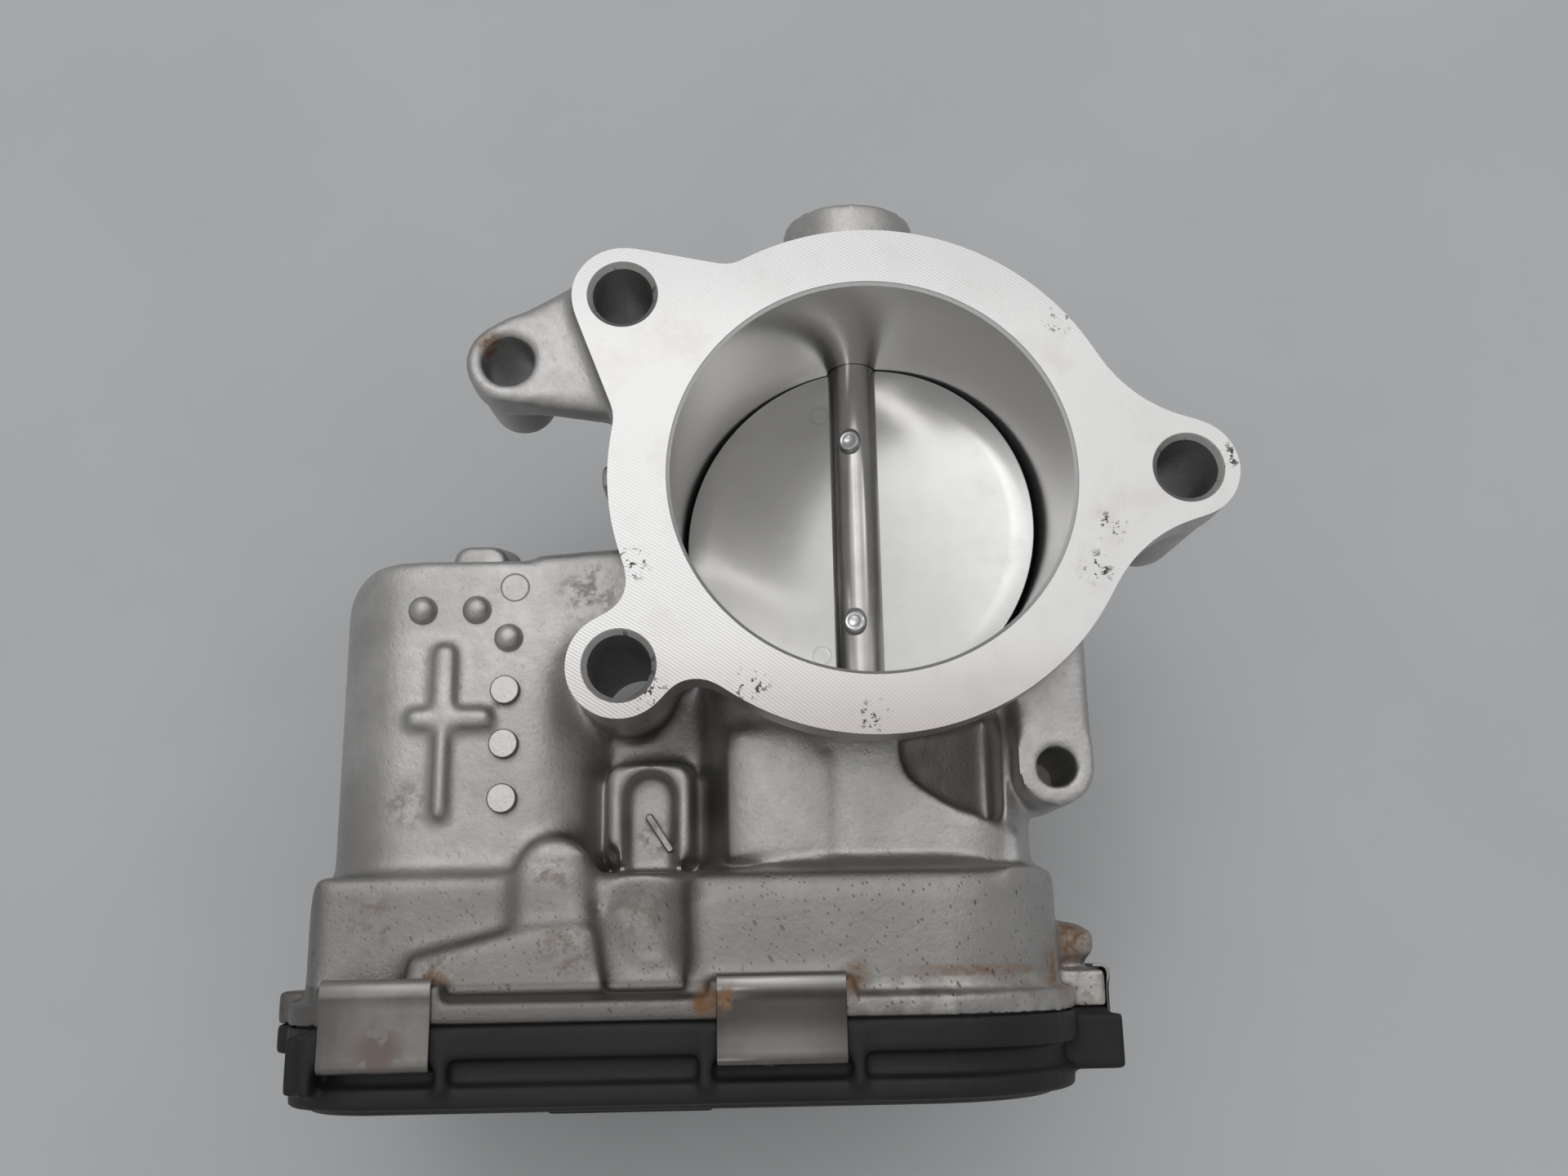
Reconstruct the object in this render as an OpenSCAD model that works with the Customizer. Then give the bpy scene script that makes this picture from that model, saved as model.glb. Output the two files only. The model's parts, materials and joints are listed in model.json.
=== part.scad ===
// Electronic throttle body: cast housing with a butterfly valve, driven by a
// motor through two gear stages under a clipped plastic cover.
// Frame: origin at the bore centre on the mounting face, +Z along the bore and
// out of the mounting face, +Y along the shaft and away from the cover.

/* [Bore and mounting flange] */
// Diameter of the main bore
bore_d = 57; // [52:0.5:62]
// Outer diameter of the machined ring round the bore
ring_d = 74.4; // [72:0.2:80]
// Thickness of the mounting flange
flange_t = 8.5; // [6:0.5:12]
// Wall of the barrel round the bore
barrel_wall = 4.6; // [3.5:0.1:6]
// Chamfer at the mouth of the bore
bore_chamfer = 0.5; // [0.2:0.1:1]
// Diameter of the circle that the bolt holes lie on
bolt_circle_d = 89.2; // [86:0.2:98]
// Diameter of each bolt hole
bolt_hole_d = 8.7; // [6.6:0.1:9.4]
// Radius of the rounded lobe round each bolt hole
lobe_r = 7.4; // [6.6:0.1:8.4]
// Length of each bolt column below the mounting face
column_h = 32; // [24:1:40]
// Angle of the two left bolt holes from the right one
left_bolt_angle = 142.3; // [140:0.1:145]

/* [Hose end] */
// Wall of the hose spigot
spigot_wall = 2.75; // [2:0.25:4]
// Length of the spigot that the air hose covers
spigot_length = 20; // [14:1:26]
// Lead-in chamfer at the end of the spigot
spigot_chamfer = 1; // [0.6:0.1:1.6]

/* [Bracket ears] */
// Diameter of the hole in the upper left ear
left_ear_hole_d = 7.4; // [5:0.1:8.4]
// Diameter of the hole in the lower right ear
right_ear_hole_d = 5.5; // [4:0.1:6.6]
// Length of the boss under the upper left ear
left_ear_boss_h = 18.5; // [12:0.5:24]
// Depth of the lower right ear below its top face
right_ear_h = 22; // [14:1:28]

/* [Throttle shaft and plate] */
// Depth of the shaft axis below the mounting face
axis_depth = 33; // [31:0.5:36]
// Diameter of the throttle shaft
shaft_d = 8; // [7:0.25:8.5]
// Tilt of the plate at its resting position
rest_tilt = 14.8; // [5:0.2:30]
// Thickness of the throttle plate
plate_t = 1.5; // [1.2:0.1:2]
// Gap between the rim of the plate and the bore
plate_gap = 0.05; // [0.03:0.01:0.2]
// Diameter of each plate screw's thread
plate_screw_d = 3.4; // [3:0.1:4]
// Distance from the bore centre to each plate screw
plate_screw_offset = 15; // [9:0.5:18]
// Radial clearance between the shaft and the housing
shaft_clearance = 0.06; // [0.02:0.01:0.1]

/* [Bearings] */
// Outer diameter of the needle bearing at the far end
needle_cup_d = 12; // [11.5:0.1:13]
// Length of the needle bearing
needle_cup_l = 10; // [8:1:12]
// Number of needles
needle_count = 16; // [12:1:18]
// Outer diameter of the ball bearing on the drive side
ball_bearing_d = 16; // [15.5:0.1:17]
// Width of the ball bearing
ball_bearing_w = 5; // [4:0.5:6]
// Number of balls
ball_count = 11; // [8:1:13]
// Outer diameter of each shaft seal
seal_d = 14; // [13:0.5:15]
// Width of each shaft seal
seal_w = 3; // [2:0.5:4]

/* [Gears] */
// Module of every gear
gear_module = 0.8; // [0.78:0.005:0.82]
// Teeth of the motor pinion
pinion_teeth = 15; // [14:1:16]
// Teeth of the large wheel of the idler gear
wheel_teeth = 57; // [56:1:58]
// Teeth of the small wheel of the idler gear
small_teeth = 17; // [16:1:18]
// Teeth that a full throttle gear would have
sector_teeth = 57; // [56:1:58]
// Backlash on the pitch line of each gear pair
backlash = 0.16; // [0.12:0.02:0.24]
// Face width of the throttle gear and of the idler's small wheel
sector_face_w = 6; // [5:0.25:6]
// Face width of the idler's large wheel
wheel_face_w = 5; // [4:0.25:5]

/* [Gear case and cover] */
// Corner radius of the case at the throttle gear's end
case_gear_corner_r = 21; // [18:0.5:21.5]
// Corner radius of the case at the motor's end
case_motor_corner_r = 12; // [10:0.5:15]
// Drop of the case's top, at the motor's end, below its top over the throttle gear
saddle_drop = 4.6; // [3:0.2:5.6]
// Wall of the gear case
case_wall = 2.5; // [2:0.1:3]
// Clearance from the throttle gear's teeth to the case wall
case_clearance = 0.8; // [0.5:0.1:1.5]
// Lip of the joint flange outside the case wall
joint_lip = 2; // [1.6:0.1:3]
// Thickness of the joint flange of the housing
joint_t = 5.2; // [4:0.2:7]
// Distance from the bore centre to the back of the gear case
case_back_y = 54; // [52:0.5:56]
// Thickness of the wall between the barrel side and the gears
case_back_wall = 3; // [2.5:0.25:4]
// Distance from the bore centre to the joint of housing and cover
joint_y = 73.6; // [73:0.1:75]
// Depth of the cover from the joint to its outer face
cover_depth = 11.3; // [11.2:0.1:12.5]
// Wall of the cover
cover_wall = 2.2; // [1.8:0.1:3]
// Thickness of the cover's joint flange
cover_joint_t = 4.3; // [4:0.1:4.6]

/* [Clips] */
// Reach of the end clip's seat beyond the joint flange
end_reach = 5; // [3:0.2:6]
// Thickness of the spring clip strip
clip_t = 0.8; // [0.6:0.05:1]
// Width of the left clips
left_clip_w = 14.4; // [10:0.2:18]
// Width of the right clips
right_clip_w = 17; // [12:0.2:20]
// Width of the end clip
end_clip_w = 12; // [9:0.5:14]

/* [Motor] */
// Diameter of the motor can
motor_d = 30; // [28:0.5:31]
// Length of the motor can
motor_l = 40; // [34:0.5:41]
// Radial clearance round the motor can
motor_clearance = 0.25; // [0.15:0.05:0.4]
// Half the width of the cast motor housing
motor_shell_half = 20; // [19.5:0.1:21]
// Radius of the long edges of the motor housing
motor_shell_r = 12; // [8:0.5:14]
// Diameter of the motor's shaft
motor_shaft_d = 3; // [2.5:0.25:4]

/* [Return spring] */
// Wire diameter of the return spring
wire_d = 1.3; // [1.2:0.05:1.3]
// Mean diameter of the return spring's turns
coil_d = 27; // [26:0.5:30]
// Turns of the return spring
coil_turns = 3.5; // [2.5:0.5:3.5]
// Distance from one turn to the next
coil_pitch = 1.7; // [1.65:0.05:1.75]

/* [Connector] */
// Width of the connector shroud, along the cover
shroud_w = 27; // [24:0.5:32]
// Thickness of the connector shroud, across the cover
shroud_t = 15.6; // [14:0.2:17]
// Wall of the connector shroud
shroud_wall = 1.8; // [1.4:0.1:2.2]
// Distance from one contact pin to the next
pin_pitch = 3.4; // [3:0.1:4]
// Number of contact pins in each of the two rows
pins_per_row = 3; // [2:1:4]

/* [Hidden] */

fine = 96;      // facets of a large circle
medium = 48;    // facets of a small circle
skin = 0.01;    // overrun of a cut past a face
fit_gap = 0.1;  // gap between pieces that are fixed to each other
hook_gap = 0.2; // gap from a clip's hook to the case wall

bore_r = bore_d / 2;
ring_r = ring_d / 2;
barrel_r = bore_r + barrel_wall;
bolt_hole_r = bolt_hole_d / 2;
shaft_r = shaft_d / 2;
plate_r = bore_r - plate_gap;
barrel_end = axis_depth + bore_r + 0.5;
duct_end = barrel_end + spigot_length;
spigot_r = bore_r + spigot_wall;

// Gear train, with each pair's centre distance at the sum of its pitch radii
pinion_pitch_r = gear_module * pinion_teeth / 2;
wheel_pitch_r = gear_module * wheel_teeth / 2;
small_pitch_r = gear_module * small_teeth / 2;
sector_pitch_r = gear_module * sector_teeth / 2;
idler_x = -(small_pitch_r + sector_pitch_r);
motor_x = idler_x - (pinion_pitch_r + wheel_pitch_r);
pinion_shift = 0.2;
small_shift = 0.1;
sector_tip_r = sector_pitch_r + gear_module * (1 - small_shift);
wheel_tip_r = wheel_pitch_r + gear_module * (1 - pinion_shift);

// Layers along the shaft, as distances from the bore centre towards the cover
case_floor_y = case_back_y + case_back_wall;
cover_face_y = joint_y + cover_depth;
cover_floor_y = cover_face_y - cover_wall;
wheel_back_y = cover_floor_y - wheel_face_w - 4.6;
wheel_front_y = wheel_back_y + wheel_face_w;
sector_front_y = wheel_back_y - 1;
sector_back_y = sector_front_y - sector_face_w;
nose_end_y = wheel_front_y + 0.4;

case_in_r = sector_tip_r + case_clearance;
case_r = case_in_r + case_wall;
case_left = motor_x - motor_shell_half - 1.2;
case_top_z = -axis_depth + case_r;
saddle_right = idler_x + 3;
joint_r = case_r + joint_lip;
clip_seat_t = cover_joint_t + 0.8;
motor_in_r = motor_d / 2 + motor_clearance;
neck_left = -25;
web_drop = 10;
neck_right = case_r - 3.4;

bolt_r = bolt_circle_d / 2;
bolt_angles = [0, left_bolt_angle, -left_bolt_angle];
left_bolt = bolt_r * [cos(left_bolt_angle), sin(left_bolt_angle)];
low_bolt = [left_bolt.x, -left_bolt.y];

left_ear = left_bolt + [-16.7, -8.9];
left_ear_r = left_ear_hole_d / 2 + 2.4;
left_ear_drop = 2.6;
left_ear_t = 6;
right_ear = [25.3, -(ring_r + 3.4)];
right_ear_r = right_ear_hole_d / 2 + 2.7;
right_ear_drop = 10;

far_boss_end = 54;
far_boss_r = 11;
far_plug_r = 7.6;
plug_t = 2;
needle_cup_y = far_boss_end - 5 - needle_cup_l;
needle_cup_r = needle_cup_d / 2;
needle_cup_wall = 0.8;
needle_r = (needle_cup_r - needle_cup_wall - shaft_r) / 2 - 0.03;
ball_bearing_r = ball_bearing_d / 2;
ring_wall = 1;
ball_r = (ball_bearing_r - shaft_r - 2 * ring_wall) / 2 - 0.05;
seal_r = seal_d / 2;
far_seal_y = bore_r + 4;
near_seal_y = bore_r + 5;

plate_slot_gap = 0.05;
shaft_end_y = sector_front_y - 2.5;
insert_r = 6.6;
hub_r = 9.4;
hub_back_y = case_floor_y + 2.2;
nose_r = 5.6;
magnet_r = 4.4;
magnet_l = 4.5;
pin_r = 2.5;
pin_clearance = 0.05;
spring_lug_angle = 140;

can_wall = 1.2;
motor_front_y = case_floor_y - 3.1;
motor_back_y = motor_front_y - motor_l;
motor_end_y = motor_back_y - 5.4;
end_plate_t = 2;
motor_screw_r = 1.65;
motor_screw_circle = 19.4;
rotor_r = motor_d / 2 - can_wall - 2.4;

closed_angle = -9.8;
open_angle = 73;

cast_grey = [0.66, 0.65, 0.63];
steel_grey = [0.74, 0.74, 0.75];
cover_black = [0.09, 0.09, 0.10];

// ---------------------------------------------------------------- helpers

// Points on an arc round a centre, from one angle to another
function arc(centre, r, from, to, steps) =
    [for (i = [0 : steps]) centre + r * [cos(from + (to - from) * i / steps), sin(from + (to - from) * i / steps)]];

// Direction of a vector in the plane
function bearing(v) = atan2(v.y, v.x);

// Angle of the touching point on a circle, of the tangent line from a point; side is 1 or -1
function touch_angle(point, centre, r, side) =
    bearing(point - centre) + side * acos(r / norm(point - centre));

// Angle at the ring's centre between a lobe and its fillet
function fillet_angle(r_ring, r_lobe, distance, f) =
    acos((pow(r_ring + f, 2) + distance * distance - pow(r_lobe + f, 2)) / (2 * distance * (r_ring + f)));

// Extrudes an outline drawn in X and Z along the shaft, between two distances from the bore centre
module along_shaft(from, to) {
    translate([0, -from, 0])
        rotate([90, 0, 0])
            linear_extrude(height = to - from)
                children();
}

// Round bar along the shaft direction
module bar(x, z, r, from, to, facets = medium) {
    translate([x, -from, z])
        rotate([90, 0, 0])
            cylinder(r = r, h = to - from, $fn = facets);
}

module tube(x, z, r_out, r_in, from, to, facets = medium) {
    difference() {
        bar(x, z, r_out, from, to, facets);
        bar(x, z, r_in, from - 1, to + 1, facets);
    }
}

// Rectangle with round corners, given by its corner positions
module round_box_2d(low, high, r) {
    translate([low.x + r, low.y])
        square([high.x - low.x - 2 * r, high.y - low.y]);
    translate([low.x, low.y + r])
        square([high.x - low.x, high.y - low.y - 2 * r]);
    for (x = [low.x + r, high.x - r], y = [low.y + r, high.y - r])
        translate([x, y])
            circle(r = r, $fn = medium);
}

// Outline of the gear case, grown outwards by an amount
module case_outline(grow) {
    half = case_r + grow;
    gear_r = case_gear_corner_r + grow;
    motor_r = case_motor_corner_r + grow;
    polygon(concat(
        arc([half - gear_r, -axis_depth - half + gear_r], gear_r, -90, 0, 14),
        arc([half - gear_r, -axis_depth + half - gear_r], gear_r, 0, 90, 14),
        arc([case_left - grow + motor_r, -axis_depth + half - motor_r], motor_r, 90, 180, 12),
        arc([case_left - grow + motor_r, -axis_depth - half + motor_r], motor_r, 180, 270, 12)));
}

// Space above the case's lower top at the motor's end; inside is the chamber's share of it
module saddle(inside) {
    wall = inside ? case_wall : 0;
    translate([case_left - 20, -joint_y + 3.6 - wall, case_top_z - saddle_drop - wall])
        cube([saddle_right - case_left + 20 + wall, joint_y - 3.6 - case_back_y + 10, saddle_drop + 20]);
}

// ---------------------------------------------------------------- gears

pressure_angle = 20;

function involute(r_base, r) =
    let (t = acos(min(1, r_base / r))) tan(t) - t * PI / 180;

// Half the angle of a tooth at a radius, in degrees
function half_tooth(teeth, shift, r) =
    let (
        r_pitch = gear_module * teeth / 2,
        r_base = r_pitch * cos(pressure_angle),
        thick = gear_module * (PI / 2 + 2 * shift * tan(pressure_angle)) - backlash / 2,
        at_pitch = thick / (2 * r_pitch)
    ) (at_pitch + involute(r_base, r_pitch) - involute(r_base, max(r, r_base))) * 180 / PI;

function gear_radii(teeth, shift) =
    let (
        r_pitch = gear_module * teeth / 2,
        root = r_pitch - gear_module * (1.25 - shift),
        tip = r_pitch + gear_module * (1 + shift),
        start = max(root + 0.02, r_pitch * cos(pressure_angle))
    ) concat([root], [for (i = [0 : 4]) start + (tip - start) * i / 4]);

// One tooth's points, centred on an angle
function tooth(teeth, shift, at) =
    let (radii = gear_radii(teeth, shift), last = len(radii) - 1) concat(
        [for (i = [0 : last]) radii[i] * [cos(at - half_tooth(teeth, shift, radii[i])),
                                          sin(at - half_tooth(teeth, shift, radii[i]))]],
        [for (i = [last : -1 : 0]) radii[i] * [cos(at + half_tooth(teeth, shift, radii[i])),
                                               sin(at + half_tooth(teeth, shift, radii[i]))]]);

// Toothed wheel with one tooth, or one gap when phase is half a pitch, on the start angle
module gear_2d(teeth, shift, start) {
    polygon([for (k = [0 : teeth - 1]) each tooth(teeth, shift, start + 360 * k / teeth)]);
}

// ---------------------------------------------------------------- housing

// Outline of the mounting flange: ring, straight-sided upper left lobe, filleted other lobes
module flange_outline() {
    notch = ring_r * [cos(121.8), sin(121.8)];
    shoulder = ring_r * [cos(166.4), sin(166.4)];
    wide_fillet = 20;
    tight_fillet = 5;
    wide = fillet_angle(ring_r, lobe_r, bolt_r, wide_fillet);
    tight = fillet_angle(ring_r, lobe_r, bolt_r, tight_fillet);
    low_angle = 360 - left_bolt_angle;
    upper_wide = (ring_r + wide_fillet) * [cos(wide), sin(wide)];
    lower_wide = [upper_wide.x, -upper_wide.y];
    before_low = (ring_r + tight_fillet) * [cos(low_angle - tight), sin(low_angle - tight)];
    after_low = (ring_r + tight_fillet) * [cos(low_angle + tight), sin(low_angle + tight)];
    right_bolt = [bolt_r, 0];
    polygon(concat(
        arc([0, 0], ring_r, wide, 121.8, 24),
        arc(left_bolt, lobe_r, touch_angle(notch, left_bolt, lobe_r, 1),
            360 + touch_angle(shoulder, left_bolt, lobe_r, -1), 14),
        arc([0, 0], ring_r, 166.4, low_angle - tight, 9),
        arc(before_low, tight_fillet, low_angle - tight + 180 - 360,
            bearing(low_bolt - before_low), 7),
        arc(low_bolt, lobe_r, bearing(before_low - low_bolt), 360 + bearing(after_low - low_bolt), 16),
        arc(after_low, tight_fillet, bearing(low_bolt - after_low), low_angle + tight - 180, 7),
        arc([0, 0], ring_r, low_angle + tight, 360 - wide, 24),
        arc(lower_wide, wide_fillet, 180 - wide, bearing(right_bolt - lower_wide), 8),
        arc(right_bolt, lobe_r, bearing(lower_wide - right_bolt), bearing(upper_wide - right_bolt), 14),
        arc(upper_wide, wide_fillet, bearing(right_bolt - upper_wide), wide - 180, 8)));
}

// Round column under a bolt hole with the web that ties it to the barrel
module bolt_column(angle) {
    rotate([0, 0, angle]) {
        translate([bolt_r, 0, -column_h])
            cylinder(r1 = lobe_r - 0.9, r2 = lobe_r - 0.1, h = column_h - 1, $fn = medium);
        translate([barrel_r - 2, -4.5, -column_h + 3])
            cube([bolt_r - barrel_r + 2, 9, column_h - 4]);
    }
}

module left_ear_solid() {
    upper = left_bolt + [-3, lobe_r - 1.6];
    lower = left_bolt + [-1, -lobe_r - 10];
    a_up = touch_angle(upper, left_ear, left_ear_r, 1);
    a_low = touch_angle(lower, left_ear, left_ear_r, -1);
    translate([0, 0, -left_ear_drop - left_ear_t])
        linear_extrude(height = left_ear_t)
            polygon(concat([lower, left_bolt, upper],
                arc(left_ear, left_ear_r, a_up, 360 + a_low, 14)));
    translate([left_ear.x, left_ear.y, -left_ear_drop - left_ear_boss_h])
        cylinder(r1 = left_ear_r - 1, r2 = left_ear_r - 0.1, h = left_ear_boss_h - 1, $fn = medium);
}

module right_ear_solid() {
    translate([0, 0, -right_ear_drop - right_ear_h])
        linear_extrude(height = right_ear_h) {
            translate(right_ear)
                circle(r = right_ear_r, $fn = medium);
            translate([right_ear.x - right_ear_r, right_ear.y])
                square([2 * right_ear_r, -right_ear.y - 20]);
        }
}

// Cast box round the motor, with its free end rounded in plan
module motor_shell() {
    low = [motor_x - motor_shell_half, -axis_depth - motor_shell_half];
    high = [motor_x + motor_shell_half, -axis_depth + motor_shell_half];
    intersection() {
        along_shaft(motor_end_y, case_back_y + 1)
            round_box_2d(low, high, motor_shell_r);
        translate([0, 0, low.y - 1])
            linear_extrude(height = 2 * motor_shell_half + 2)
                round_box_2d([low.x - 1, -case_back_y - 20], [high.x + 14, -motor_end_y], 10);
    }
}

// Neck between the barrel and the gear case, and the web between barrel and motor
module neck() {
    along_shaft(bore_r - 4, case_back_y + 1)
        round_box_2d([neck_left, -axis_depth - motor_shell_half], [neck_right, -axis_depth + motor_shell_half],
            motor_shell_r);
    // low web between motor and neck, and its raised part beside the flange
    along_shaft(motor_end_y + 1, case_back_y + 1)
        round_box_2d([motor_x + motor_shell_half - 9, -axis_depth - motor_shell_half + 5],
            [neck_left + 5, -axis_depth + motor_shell_half - web_drop], 3);
    along_shaft(motor_end_y, motor_end_y + 17)
        round_box_2d([motor_x + motor_shell_half - 12, -axis_depth + 2],
            [-barrel_r + 4, -axis_depth + motor_shell_half - 0.2], 2);
}

// Ribs, pads and pips of the casting's upper side, placed from the motor housing's closed end
module cast_details() {
    top = -axis_depth + motor_shell_half;
    for (at = [[-6.5, 7.7], [1.3, 7.7], [6, 11.9]])
        translate([motor_x + at.x, -motor_end_y - at.y, top - 1.4])
            cylinder(r1 = 2.2, r2 = 1.2, h = 3.8, $fn = medium);
    for (k = [0 : 2])
        translate([motor_x + 5.8, -motor_end_y - 19.7 - 7.7 * k, top - 1])
            cylinder(r = 2.1, h = 1.8, $fn = medium);
    translate([motor_x - 5, -motor_end_y - 37.8, top - 1.2])
        cube([2, 24.6, 2.4]);
    translate([motor_x - 8.6, -motor_end_y - 23.9, top - 1.2])
        cube([9.8, 2, 2.4]);
    // arched pad and raised shelf that run into the joint flange
    pad_top = case_top_z - saddle_drop + 1.5;
    translate([-44.8, -case_back_y - 0.4, pad_top - 6])
        cylinder(r = 5.4, h = 6, $fn = medium);
    translate([-50.2, -case_back_y - 8, pad_top - 6])
        cube([10.8, 7.6, 6]);
    translate([0, 0, pad_top - 6])
        linear_extrude(height = 7.3)
            polygon([[-64, -65], [-50, -61.6], [-39, -61.2], [-37.6, -joint_y + 4], [-64, -joint_y + 4]]);
    // framed window beside the motor
    translate([neck_left - 12.9, -case_back_y + 1.2, top - web_drop - 1])
        difference() {
            cube([11.6, 14.1, web_drop]);
            translate([2.3, 1, web_drop - 3.4])
                cube([7.6, 12, 5]);
        }
    // rib on the neck
    translate([-8, -case_back_y, top - 1])
        cube([1.4, 16, 1.6]);
    // boss on the barrel's motor side
    translate([-barrel_r - 6.4, 2, -flange_t - 14])
        cube([8, 4.4, 10]);
    // plug on the closed end of the motor housing
    bar(motor_x, -axis_depth + 5, 5.2, motor_end_y - 5, motor_end_y + 1);
}

// Lug beside the joint flange, at the case's left end
module left_lug(from, to) {
    along_shaft(from, to)
        round_box_2d([case_left - joint_lip - 2.8, -axis_depth + 4], [case_left + 4, -axis_depth + 14], 2);
}

module housing_body() {
    translate([0, 0, -flange_t])
        linear_extrude(height = flange_t)
            flange_outline();
    translate([0, 0, -flange_t - 4])
        cylinder(r1 = barrel_r, r2 = ring_r - 0.6, h = 4 + skin, $fn = fine);
    translate([0, 0, -barrel_end])
        cylinder(r = barrel_r, h = barrel_end - 1, $fn = fine);
    translate([0, 0, -duct_end + spigot_chamfer])
        cylinder(r = spigot_r, h = spigot_length - spigot_chamfer + 1, $fn = fine);
    translate([0, 0, -duct_end])
        cylinder(r1 = spigot_r - spigot_chamfer, r2 = spigot_r, h = spigot_chamfer, $fn = fine);
    for (angle = bolt_angles)
        bolt_column(angle);
    left_ear_solid();
    right_ear_solid();
    bar(0, -axis_depth, far_boss_r, -far_boss_end, -bore_r - 1, fine);
    bar(0, -axis_depth, far_boss_r + 3, -bore_r - 9, -bore_r - 1, fine);
    motor_shell();
    neck();
    difference() {
        along_shaft(case_back_y, joint_y)
            case_outline(0);
        saddle(false);
    }
    along_shaft(joint_y - 3, joint_y)
        case_outline(joint_lip);
    clip_lands(joint_y - joint_t, joint_y);
    end_lug();
    left_lug(joint_y - 4.4, joint_y);
    cast_details();
}

module housing() {
    color(cast_grey)
        difference() {
            housing_body();
            translate([0, 0, -duct_end - 1])
                cylinder(r = bore_r, h = duct_end + 2, $fn = fine);
            translate([0, 0, -bore_chamfer])
                cylinder(r1 = bore_r, r2 = bore_r + bore_chamfer + skin, h = bore_chamfer + skin, $fn = fine);
            for (angle = bolt_angles)
                rotate([0, 0, angle])
                    translate([bolt_r, 0, 0]) {
                        translate([0, 0, -column_h - 1])
                            cylinder(r = bolt_hole_r, h = column_h + 2, $fn = medium);
                        translate([0, 0, -0.8])
                            cylinder(r1 = bolt_hole_r, r2 = bolt_hole_r + 0.8 + skin, h = 0.8 + skin, $fn = medium);
                        translate([0, 0, -duct_end])
                            cylinder(r = lobe_r - 0.9, h = duct_end - column_h, $fn = medium);
                    }
            translate([left_ear.x, left_ear.y, -left_ear_drop - left_ear_boss_h - 1])
                cylinder(d = left_ear_hole_d, h = left_ear_boss_h + 2, $fn = medium);
            translate([right_ear.x, right_ear.y, -right_ear_drop - right_ear_h + 4])
                cylinder(d = right_ear_hole_d, h = right_ear_h, $fn = medium);
            // shaft bore with its bearing, seal and plug seats
            bar(0, -axis_depth, shaft_r + shaft_clearance, -far_boss_end - 1, case_floor_y + 1);
            bar(0, -axis_depth, needle_cup_r, -far_boss_end - 1, -needle_cup_y);
            bar(0, -axis_depth, far_plug_r, -far_boss_end - 1, -far_boss_end + plug_t);
            bar(0, -axis_depth, seal_r, -far_seal_y - seal_w, -far_seal_y);
            bar(0, -axis_depth, seal_r, near_seal_y, near_seal_y + seal_w);
            bar(0, -axis_depth, ball_bearing_r, case_floor_y - ball_bearing_w, case_floor_y + 1);
            // motor chamber
            bar(motor_x, -axis_depth, motor_in_r, motor_end_y + 3.5, case_floor_y + 1, fine);
            // gear chamber
            difference() {
                along_shaft(case_floor_y, joint_y + 1)
                    case_outline(-case_wall);
                saddle(true);
            }
            bar(idler_x, -axis_depth, pin_r, case_back_y - 4, case_floor_y + 1);
            for (turn = [45, 225])
                bar(motor_x + motor_screw_circle * cos(turn), -axis_depth + motor_screw_circle * sin(turn),
                    motor_screw_r, case_floor_y - 9, case_floor_y + 1);
        }
}

// ---------------------------------------------------------------- cover, gasket and clips

top_z = -axis_depth + joint_r;
left_clip_x = case_left + 12.9;
right_clip_x = -14;

// Places a copy of its children at each clip, drawn at the top and centred on X
module at_clip(which) {
    if (which == "top_left") translate([left_clip_x, 0, top_z]) children();
    if (which == "top_right") translate([right_clip_x, 0, top_z]) children();
    if (which == "end") translate([0, 0, -axis_depth]) rotate([0, 90, 0]) translate([0, 0, joint_r + end_reach]) children();
    if (which == "bottom_left") translate([left_clip_x, 0, -2 * axis_depth]) mirror([0, 0, 1]) translate([0, 0, top_z]) children();
    if (which == "bottom_right") translate([right_clip_x, 0, -2 * axis_depth]) mirror([0, 0, 1]) translate([0, 0, top_z]) children();
}

CLIPS = ["top_left", "top_right", "end", "bottom_left", "bottom_right"];

function clip_width(which) =
    which == "end" ? end_clip_w : (which == "top_left" || which == "bottom_left") ? left_clip_w : right_clip_w;

// How far a clip's seat stands out from the joint flange
function clip_reach(which) = which == "end" ? end_reach : 0;

// Thickened places of the joint flange that the clips hook behind
module clip_lands(from, to) {
    for (which = CLIPS) {
        depth = joint_lip + case_wall + clip_reach(which);
        at_clip(which)
            translate([-clip_width(which) / 2 - 1, -to, -depth])
                cube([clip_width(which) + 2, to - from, depth]);
    }
}

// Lug of the case behind the end clip's hook
module end_lug() {
    depth = joint_lip + case_wall + end_reach;
    at_clip("end")
        translate([-end_clip_w / 2 - 1, -joint_y + joint_t + clip_t + 0.9, -depth])
            cube([end_clip_w + 2, 4.2, depth - 1]);
}

// Strip bent to a wide C round the two joint flanges
module clip(which) {
    w = clip_width(which);
    back = joint_y - joint_t - fit_gap;
    front = joint_y + clip_seat_t + fit_gap;
    low = fit_gap;
    hook = hook_gap - joint_lip;
    color(steel_grey)
        at_clip(which)
            translate([-w / 2, 0, 0])
                rotate([90, 0, 90])
                    linear_extrude(height = w)
                        polygon([
                            [-back + clip_t, hook], [-back + clip_t, low + clip_t - 0.4],
                            [-back + clip_t - 0.4, low + clip_t], [-front - clip_t + 0.4, low + clip_t],
                            [-front - clip_t, low + clip_t - 0.4], [-front - clip_t, hook],
                            [-front, hook], [-front, low], [-back, low], [-back, hook]]);
}

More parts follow.
